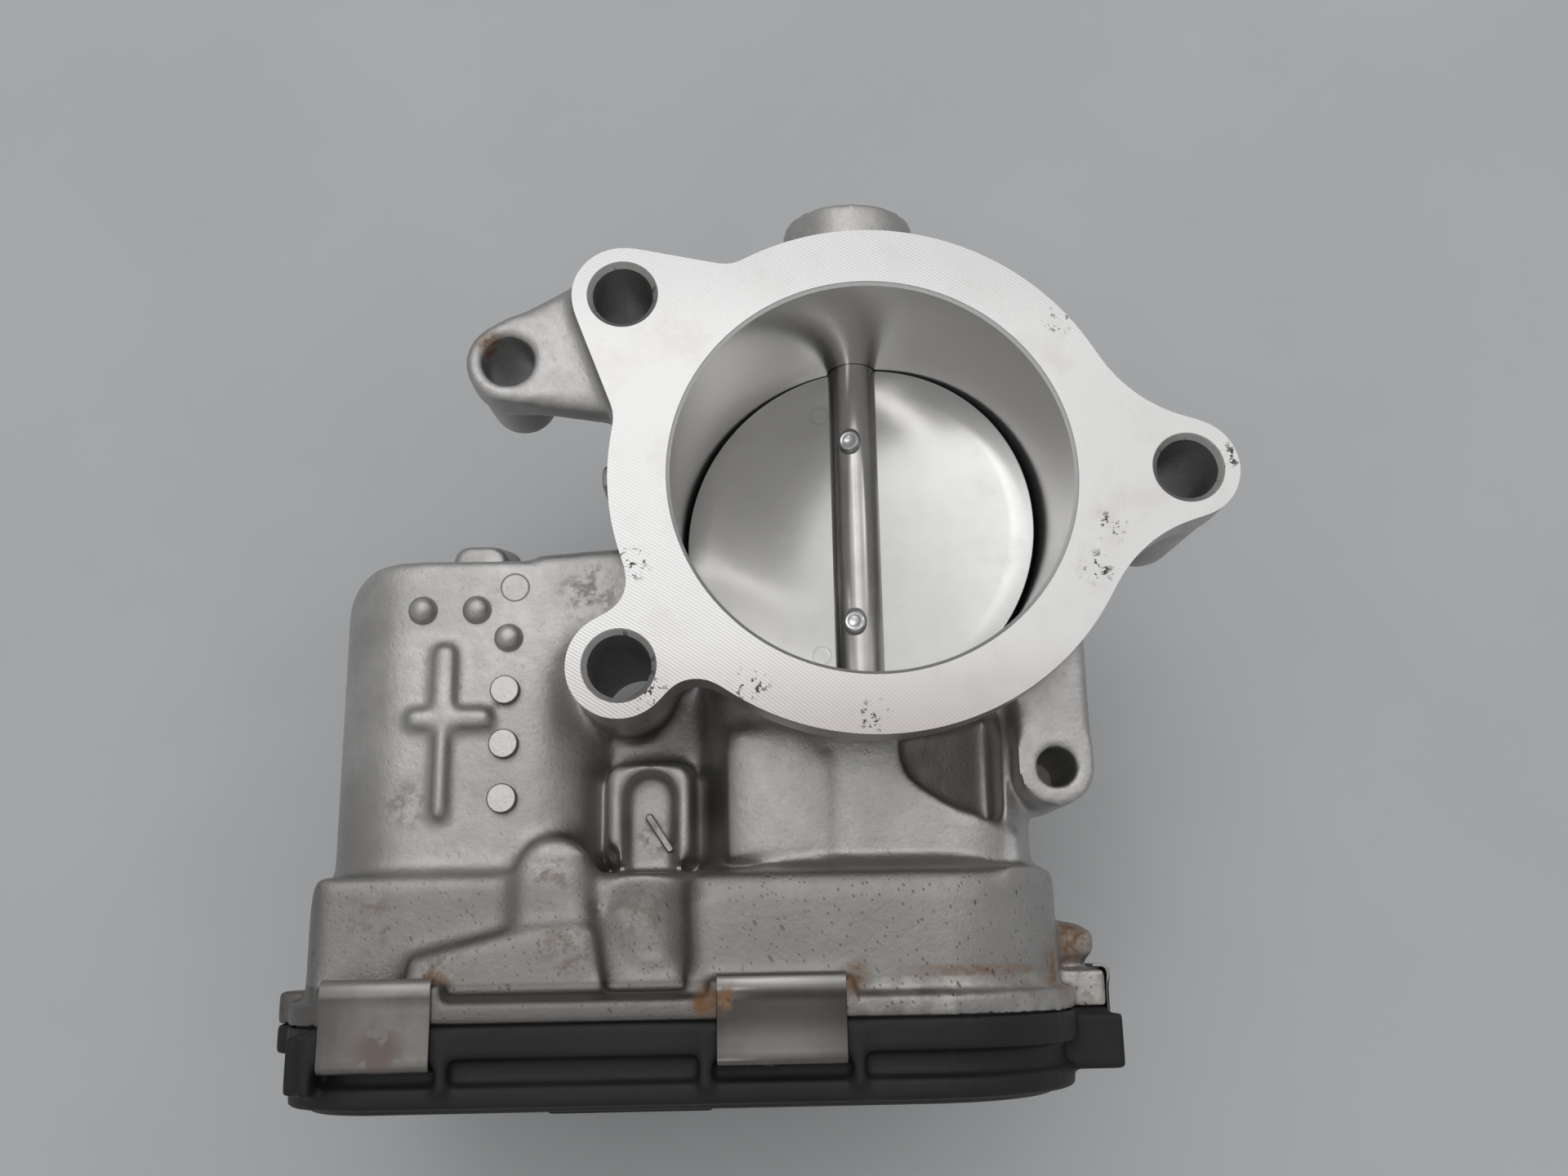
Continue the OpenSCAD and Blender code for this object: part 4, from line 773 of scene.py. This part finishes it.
def castMounds():
    # Blocks, outlines carried straight and turned profiles: the cross's bars and hub, the
    # window's frame with its arched recess, the neck's panel, the post, the motor housing's
    # upper edge and tab, the end lug's filler and the column under the near left bolt hole
    s = raised
    slope = [(motorTop + height, grow) for height, grow in s["barSlope"]]
    bars = [mound(bar, slope, radius) for bar, radius in s["bars"]]
    hub = solid("hub", turned(s["hubProfile"], (*s["hub"], motorTop), 32))
    frame = cutBy(mound(*s["frame"]), [mound(*s["recess"]), mound(*s["notch"])])
    panel = solid("panel", carried(s["panel"], *s["panelRun"]))
    topEdge = solid("topEdge", lofted([(z, s["topEdge"]) for z in s["topEdgeLevels"]]))
    column = solid("column", rod(*s["column"], (*bolts[2], 0)))
    post, tab, filler = [mound(*s[name]) for name in ("post", "tab", "lugFiller")]
    return bars + [hub, frame, panel, post, topEdge, tab, filler, column]


# Low forms of the casting: blocks as above, and outlines of (x, y) at each height
hollows = {
    "topField": ((-71, -48.5, -49.2, -8), [(motorTop, 0), (4, 0)], 0.5),
    "window": ((-38.3, -53.8, -26.0, -38.4), [(-22.4, 0), (-10, 0)], 0.5),
    "pocket": [
        (-12.3, [(-36.6, -54.8), (-30.2, -54.8), (-29.6, -66), (-32.9, -66.2), (-34.4, -62.8),
                 (-36.9, -59.4)]),
        (-10.9, [(-37.6, -54.3), (-28.2, -54.3), (-27.4, -67), (-34.6, -67.2), (-36, -63.4), (-37.9, -59.9)]),
        (-9, [(-38.3, -54), (-27, -54), (-26.2, -67.6), (-36.9, -68), (-37.9, -64), (-38.4, -60.4)]),
        (-3, [(-38.6, -53.8), (-25.4, -53.8), (-24.8, -68), (-37.9, -68.4), (-38.6, -64), (-38.8, -60.5)]),
    ],
    "padSlope": [(-12.4, [(-39.2, -59.6), (-38.0, -59.6), (-38.0, -50), (-39.2, -50)]),
                 (-7.0, [(-41.6, -59.8), (-38.0, -59.8), (-38.0, -50), (-41.6, -50)])],
    "shoulder": ((-45.2, -37.5, -33, -21),
                 [(-16.8, -3.6), (-15.4, -1.6), (-14.3, 0), (-13.5, 1.3), (-12.8, 2.8)], 5),
    "neckEdge": [(-27, -11), (-27, -19.5), (-25.4, -19), (-24.9, -16.5), (-23.8, -14.8), (-22.2, -13.7),
                 (-20.2, -13), (-19, -11)],
    "neckEdgeRun": (-52.6, -33),
    "earRim": [(3.6, -35.0), (3.7, -38.3), (4.4, -40.7), (6.1, -42.4), (10.0, -45.0), (14.6, -46.7),
               (18.2, -48.0), (18.2, -31.0), (12.0, -33.2)],
    "earFloor": -18.6,
    "earFall": 0.42,
    "earTop": -10.9,
    "caseEnd": [(-90, -53.9), (-78.2, -53.9), (-78.8, -56.0), (-79.7, -58.6), (-90, -58.6)],
    "caseEndLevels": (-70, 2),
}


def castHollows():
    # Cutters: the fields round the cross and the window, the dished pocket beside the shelf,
    # the slope right of the pad, the motor housing's right shoulder, the neck's left edge, the
    # hollow before the right ear, whose floor falls evenly along X, and the case's slanted end
    s = hollows
    rim = np.array(s["earRim"])
    floor = s["earFloor"] - s["earFall"] * (rim[:, 0] - rim[0, 0])
    ear = [np.column_stack([rim, level]) * mm for level in (floor, np.full(len(rim), s["earTop"]))]
    return [mound(*s["topField"]), mound(*s["window"]),
            solid("pocket", lofted(s["pocket"])), solid("padSlope", lofted(s["padSlope"])),
            mound(*s["shoulder"]), solid("neckEdge", carried(s["neckEdge"], *s["neckEdgeRun"])),
            solid("earHollow", stacked(ear)),
            solid("caseEnd", lofted([(z, s["caseEnd"]) for z in s["caseEndLevels"]]))]


# Pips, discs and the window's rib; profiles are (radius, height over the motor housing's top)
pips = {
    "pips": [(-64.9, -16.2), (-57.1, -16.2), (-52.4, -20.4)],
    "pipProfile": [(0, -2), (2.3, -2), (2.12, 0.05), (2.0, 0.5), (1.85, 0.95), (1.6, 1.35), (1.25, 1.65),
                   (0.8, 1.86), (0.4, 1.93), (0, 1.95)],
    "discs": [(-52.6, -28.2), (-52.6, -35.9), (-52.6, -43.6)],
    "discProfile": [(0, -2), (2.2, -2), (2.08, 1.25), (1.98, 1.38), (0, 1.4)],
    "rib": ((-0.5, -3.1, 0.5, 3.1), [(-20.5, 0.4), (-17.0, 0.05), (-16.7, -0.15)], 0.4),
    "ribPlace": (-30.8, -48.4),
    "ribTurn": 33,
}


def castPips():
    # Pips are cones with round tops, discs low cylinders with a touch of draft and the
    # rib a narrow block turned about Z
    s = pips
    rib = mound(*s["rib"])
    turn = Matrix.Rotation(math.radians(s["ribTurn"]), 4, "Z")
    rib.transform(Matrix.Translation([c * mm for c in (*s["ribPlace"], 0)]) @ turn)
    made = [rib]
    for profile, places in ((s["pipProfile"], s["pips"]), (s["discProfile"], s["discs"])):
        made += [solid("pip", turned(profile, (*place, motorTop), 48)) for place in places]
    return made


# Cut faces. A hole is (radius, depth, chamfer, how far the chamfer runs on over the
# surface), the ears' holes share the last two and the shaft's hole is (radius, low, high).
cuts = {
    "slab": 100,
    "slabTop": 12,
    "bore": (28.5, 84, 0.5, 1),
    "boreSteps": 256,
    "bolt": (4.35, 60, 0.8, 0.8),
    "earChamfer": (0.35, 1),
    "shaftHole": (4.16, -58, 50.5),
}


def castCutters():
    # The mounting face is a slab's underside, and every hole is turned about its own axis
    half = cuts["slab"]
    slab = [(-half, -half), (half, -half), (half, half), (-half, half)]
    cutters = [solid("slab", lofted([(z, slab) for z in (0, cuts["slabTop"])])),
               drill((0, 0, 0), *cuts["bore"], cuts["boreSteps"]),
               solid("shaftHole", rod(*cuts["shaftHole"], (0, 0, -axisDepth), 96, "y"))]
    cutters += [drill((x, y, 0), *cuts["bolt"]) for x, y in bolts]
    return cutters + [drill((x, y, top), size, depth, *cuts["earChamfer"]) for x, y, top, size, depth in ears]


def castingMesh():
    # The CAD housing, its face lifted, loses the low forms and gains the raised ones; a fine
    # grid is laid over all, relaxed and thinned, and only then are the cut faces made
    mesh = welded(frame["nodes"]["housing"].data.copy())
    lift = casting["faceLift"] * mm
    points = pointsOf(mesh)
    points[points[:, 2] > casting["faceFrom"] * mm, 2] += lift
    mesh.vertices.foreach_set("co", points.ravel())
    mesh = joined(cutBy(mesh, castHollows()), *castMounds())
    mesh = evaluated(mesh, "REMESH", mode="VOXEL", voxel_size=casting["voxel"] * mm)
    points = relaxed(pointsOf(mesh), edgesOf(mesh), castShare(pointsOf(mesh)), casting["passes"])
    axes = points.T / mm  # the gear case's long upper edge has a wider radius than the rest
    edge = inside(axes, casting["longEdge"]) * step(axes[2], *casting["longEdgeTop"])
    points = relaxed(points, edgesOf(mesh), edge, casting["longEdgePasses"])
    radius = np.hypot(points[:, 0], points[:, 1])  # the bore's wall stands in a little until it is cut clean
    drawn = casting["drawnTo"] * mm / np.maximum(radius, mm)
    points[:, :2] *= np.where(radius < casting["nearBore"] * mm, drawn, 1)[:, None]
    low, high = np.array(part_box("housing"))
    points = np.clip(points, low, high + [0, 0, lift])
    mesh.vertices.foreach_set("co", points.ravel())
    mesh.update()
    print("casting relaxed:", len(points), "points")
    mesh = evaluated(mesh, "DECIMATE", ratio=casting["keep"])
    return cutBy(cutBy(mesh, castPips(), "UNION"), castCutters())


addPiece("casting", castingMesh(), "body", "cast_aluminium", "housing", smoothAngle=40)
print("casting made")

# The cover: the CAD cover with small moulded radii
cover = {"voxel": 0.45, "passes": 4, "keep": 0.3}


def coverMesh():  # a fine grid laid over the CAD cover, relaxed evenly and thinned
    mesh = welded(frame["nodes"]["gear_cover"].data.copy())
    mesh = evaluated(mesh, "REMESH", mode="VOXEL", voxel_size=cover["voxel"] * mm)
    points = pointsOf(mesh)
    points = relaxed(points, edgesOf(mesh), np.ones(len(points)), cover["passes"])
    mesh.vertices.foreach_set("co", points.ravel())
    return evaluated(mesh, "DECIMATE", ratio=cover["keep"])


addPiece("cover", coverMesh(), "body", "cover_plastic", "gear_cover", smoothAngle=40)
print("cover made")

# Spring clips: a strip bent over both joint flanges, with a bead at the case side. The
# line gives (distance from the hook behind the case, height), with the clip's outermost
# face at the crown's height; each clip faces along (axis, direction).
clips = {
    "strip": 0.5,
    "round": 0.12,
    "leg": 0.4,
    "line": [(0, -1.55), (0, -0.75), (0.06, -0.05), (0.42, 0.45), (1.0, 0.64), (1.7, 0.63), (2.3, 0.5),
             (2.9, 0.4), (4.2, 0.36), (6.6, 0.36), (9.2, 0.42), (10.3, 0.46), (10.85, 0.38), (11.2, 0.0),
             (11.3, -0.6), (11.3, -1.55)],
    "crown": 0.9,
    "steps": 72,
    "facing": {"clip_top_left": (2, 1), "clip_top_right": (2, 1), "clip_end": (0, 1),
               "clip_bottom_left": (2, -1), "clip_bottom_right": (2, -1)},
}


def curveThrough(points, count):
    # Points spread evenly by length along a smooth curve through the given ones:
    # each coordinate is a cubic blend of its neighbours over the chord length
    points = np.asarray(points, dtype=float)
    chord = np.concatenate([[0], np.cumsum(np.linalg.norm(np.diff(points, axis=0), axis=1))])
    slope = np.gradient(points, chord, axis=0)
    at = np.linspace(0, chord[-1], count)
    k = np.clip(np.searchsorted(chord, at) - 1, 0, len(chord) - 2)
    span = (chord[k + 1] - chord[k])[:, None]
    t = ((at - chord[k])[:, None]) / span
    return ((1 + 2 * t) * (1 - t) ** 2 * points[k] + t * (1 - t) ** 2 * span * slope[k] +
            t * t * (3 - 2 * t) * points[k + 1] + t * t * (t - 1) * span * slope[k + 1])


def clipMesh(node):
    # The strip's centre line runs in the clip's own plane; its loop is the line
    # pushed out by half the strip's thickness on both sides, and the loop is
    # carried across the clip's width with its edges drawn in a little
    low, high = np.array(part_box(node)) / mm
    axis, sign = clips["facing"][node]
    outer = high[axis] if sign > 0 else low[axis]
    leg, count, length = clips["leg"], clips["steps"], clips["line"][-1][0]
    line = curveThrough(clips["line"], count)
    line[:, 0] = high[1] - leg - line[:, 0] * (high[1] - low[1] - 2 * leg) / length
    ahead = np.gradient(line, axis=0)
    ahead /= np.linalg.norm(ahead, axis=1)[:, None]
    sideways = np.stack([-ahead[:, 1], ahead[:, 0]], axis=1)
    half, curl, part = clips["strip"] / 2, clips["round"], bevel * clips["round"]
    first, last = low[2 - axis], high[2 - axis]
    rings = []
    for across, inset in ((first, curl), (first + part, part), (first + curl, 0),
                          (last - curl, 0), (last - part, part), (last, curl)):
        loop = np.concatenate([line + sideways * (half - inset), (line - sideways * (half - inset))[::-1]])
        ring = np.full((len(loop), 3), across)
        ring[:, 1] = loop[:, 0]
        ring[:, axis] = outer + sign * (loop[:, 1] - clips["crown"])
        rings.append(ring * mm)
    points, faces = stacked(rings)
    faces = faces[:-2]  # both side edges are closed by a row of quads instead of one long face
    for start in (0, len(points) - 2 * count):
        faces += [[start + k, start + k + 1, start + 2 * count - 2 - k, start + 2 * count - 1 - k]
                  for k in range(count - 1)]
    return solid(node, (points, faces))


for node in clips["facing"]:
    piece = node.replace("clip_", "spring_clip_")
    addPiece(piece, clipMesh(node), "body", "clip_steel", node, smoothAngle=50)
print("clips made")

# Plate, shaft and screws, drawn about the shaft and turned to the resting tilt. The
# screw's profile is (share of its radius, height).
valve = {
    "tilt": 14.8,
    "plateRadius": 28.45,
    "plateHalf": 0.75,
    "plateFlat": 4,
    "rimRound": 0.2,
    "shaftRadius": 4.0,
    "shaftChamfer": 0.4,
    "slotHalf": 6,
    "slotPlay": (0.4, 0.05),
    "screwAt": (-15, 15),
    "screwRadius": 1.7,
    "screwPlay": 0.02,
    "screwSeat": (3.4, 3.9),
    "screwProfile": [(0, -3.7), (0.9, -3.7), (1, -3.5), (1, 4.35), (0.93, 4.62), (0.78, 4.78), (0.62, 4.72),
                     (0.52, 4.4), (0.3, 4.22), (0, 4.2)],
}


def tilted(made):  # turns points about the shaft's axis by the plate's tilt and sets them on the axis
    points, faces = made
    angle = math.radians(valve["tilt"])
    x, y, z = np.asarray(points).T
    turnedX = x * math.cos(angle) - z * math.sin(angle)
    turnedZ = x * math.sin(angle) + z * math.cos(angle) - axisDepth * mm
    return np.stack([turnedX, y, turnedZ], axis=1), faces


def atScrews(name, profile, steps):  # a turned profile at both screws, tilted with the plate
    return [solid(name, tilted(turned(profile, (0, y, 0), steps))) for y in valve["screwAt"]]


def plateMesh():
    # A disc with a rounded rim, turned about its own axis, less a hole for each screw
    r, half, soft = valve["plateRadius"], valve["plateHalf"], valve["rimRound"]
    upper = [(r, half - soft), (r - bevel * soft, half - bevel * soft), (r - soft, half),
             (r - valve["plateFlat"], half), (0, half)]
    lower = [(radius, -height) for radius, height in upper[::-1]]
    hole, reach = valve["screwRadius"], 4 * half
    plate = solid("plate", tilted(turned(lower + upper, (0, 0, 0), 256)))
    return cutBy(plate, atScrews("hole", [(0, -reach), (hole, -reach), (hole, reach), (0, reach)], 40))


def shaftMesh():
    # A turned bar with chamfered ends, less the plate's slot and a seated hole for each screw
    low, high = np.array(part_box("throttle_shaft"))[:, 1] / mm
    r, chamfer = valve["shaftRadius"], valve["shaftChamfer"]
    profile = [(0, low), (r - chamfer, low), (r, low + chamfer),
               (r, high - chamfer), (r - chamfer, high), (0, high)]
    bar = solid("bar", turned(profile, (0, 0, -axisDepth), 128, "y"))
    endPlay, facePlay = valve["slotPlay"]
    width, reach, half = valve["slotHalf"], valve["plateRadius"] + endPlay, valve["plateHalf"] + facePlay
    outline = [(-width, -reach), (width, -reach), (width, reach), (-width, reach)]
    slot = solid("slot", tilted(lofted([(z, outline) for z in (-half, half)])))
    size, (start, full) = valve["screwRadius"] + valve["screwPlay"], valve["screwSeat"]
    wide, far = size + full - start, r + 3
    seat = [(0, -far), (size, -far), (size, start), (wide, full), (wide, far), (0, far)]
    return cutBy(bar, [slot] + atScrews("hole", seat, 40))


def screwMesh():  # each screw is a round bar with a domed lower head and a peened ring at its upper end
    profile = [(share * valve["screwRadius"], height) for share, height in valve["screwProfile"]]
    return joined(*atScrews("screw", profile, 48))


addPiece("plate", plateMesh(), "throttle", "plate_metal", "throttle_plate")
addPiece("shaft", shaftMesh(), "throttle", "shaft_steel", "throttle_shaft")
addPiece("screws", screwMesh(), "throttle", "screw_steel", "plate_screws")

# Plug pressed into the far boss, its outer face given as (inset from the rim, depth)
plug = {
    "radius": 7.6,
    "from": 52.0,
    "to": 53.8,
    "chamfer": 0.3,
    "face": [(0, 0.5), (0.2, 0.12), (0.6, 0), (1.2, 0.15), (1.8, 0.5), (4.56, 0.62), (7.6, 0.64)],
}


def plugMesh():  # a disc with a round rim and a shallow dish, turned about the shaft's axis
    r, start, end, chamfer = plug["radius"], plug["from"], plug["to"], plug["chamfer"]
    profile = [(0, start), (r - chamfer, start), (r, start + chamfer)]
    profile += [(r - inset, end - depth) for inset, depth in plug["face"]]
    return solid("plug", turned(profile, (0, 0, -axisDepth), 96, "y"))


addPiece("far_plug", plugMesh(), "body", "clip_steel", "end_plug")
print("valve made")

# Plain pale floor in a soft room that is brightest overhead, towards +Y, and four lamps:
# a square one, two long ones and a small one, each (place, size, power)
stage = {
    "floorZ": -0.082,
    "floorSize": 6.0,
    "floorColour": (0.52, 0.53, 0.54),
    "glowFrom": (0.0, 0.42, 0.9),
    "glowEdge": 0.7,
    "roomLow": 0.42,
    "roomHigh": 1.3,
    "backdrop": 0.42,
    "lamps": [((-0.10, 0.40, 0.95), (0.5, 0.5), 0.45), ((-0.34, 0.50, 1.0), (0.09, 0.6), 0.14),
              ((0.85, 0.50, 0.95), (0.12, 0.6), 0.55), ((-0.36, -0.37, 0.86), (0.16, 0.16), 0.25)],
}


def addFloor():
    half, level = stage["floorSize"] / 2, stage["floorZ"]
    corners = [(-half, -half, level), (half, -half, level), (half, half, level), (-half, half, level)]
    mesh = meshOf("floor", corners, [(0, 1, 2, 3)])
    look = Look("pale floor", 0.0, 0.6)
    darker = tuple(c * 0.95 for c in stage["floorColour"])
    tone = look.blend(look.ramp(look.noise(14, 4), 0.3, 0.7), darker, stage["floorColour"])
    mesh.materials.append(look.finish(Base_Color=tone, Roughness=0.55 + look.noise(300) * 0.1))
    floor = bpy.data.objects.new("floor", mesh)
    scene.collection.objects.link(floor)


def addLamps():  # every lamp points at the frame's origin
    for place, size, power in stage["lamps"]:
        lamp = bpy.data.lights.new("softbox", "AREA")
        lamp.shape = "RECTANGLE"
        lamp.size, lamp.size_y = size
        lamp.energy = power
        box = bpy.data.objects.new("softbox", lamp)
        turn = (-Vector(place)).to_track_quat("-Z", "Y").to_matrix().to_4x4()
        box.matrix_world = Matrix.Translation(place) @ turn
        scene.collection.objects.link(box)


def addRoom():
    # The room's brightness grows with the cosine between a direction and the glow's;
    # straight to the camera it is an even, pale backdrop
    world = bpy.data.worlds.new("room")
    scene.world = world
    world.use_nodes = True
    nodes = Nodes(world.node_tree)
    direction = nodes.node("ShaderNodeTexCoord", out="Generated")
    glow = Vector(stage["glowFrom"]).normalized()
    cosine = nodes.node("ShaderNodeVectorMath", {"operation": "DOT_PRODUCT"}, {0: direction, 1: glow},
                        out="Value")
    level = nodes.ramp(cosine, stage["glowEdge"], 1.0, stage["roomLow"], stage["roomHigh"])
    room = world.node_tree.nodes["Background"]
    nodes.feed(room.inputs["Color"], (1, 1, 1, 1))
    nodes.feed(room.inputs["Strength"], level)
    colour = stage["floorColour"]
    pale = nodes.node("ShaderNodeBackground", {},
                      {"Color": (*colour, 1), "Strength": stage["backdrop"] / colour[1]})
    straight = nodes.node("ShaderNodeLightPath", out="Is Camera Ray")
    either = nodes.node("ShaderNodeMixShader", {}, {0: straight, 1: Wire(nodes, room.outputs[0]), 2: pale})
    nodes.feed(world.node_tree.nodes["World Output"].inputs["Surface"], either)


addFloor()
addLamps()
addRoom()
print("stage set")
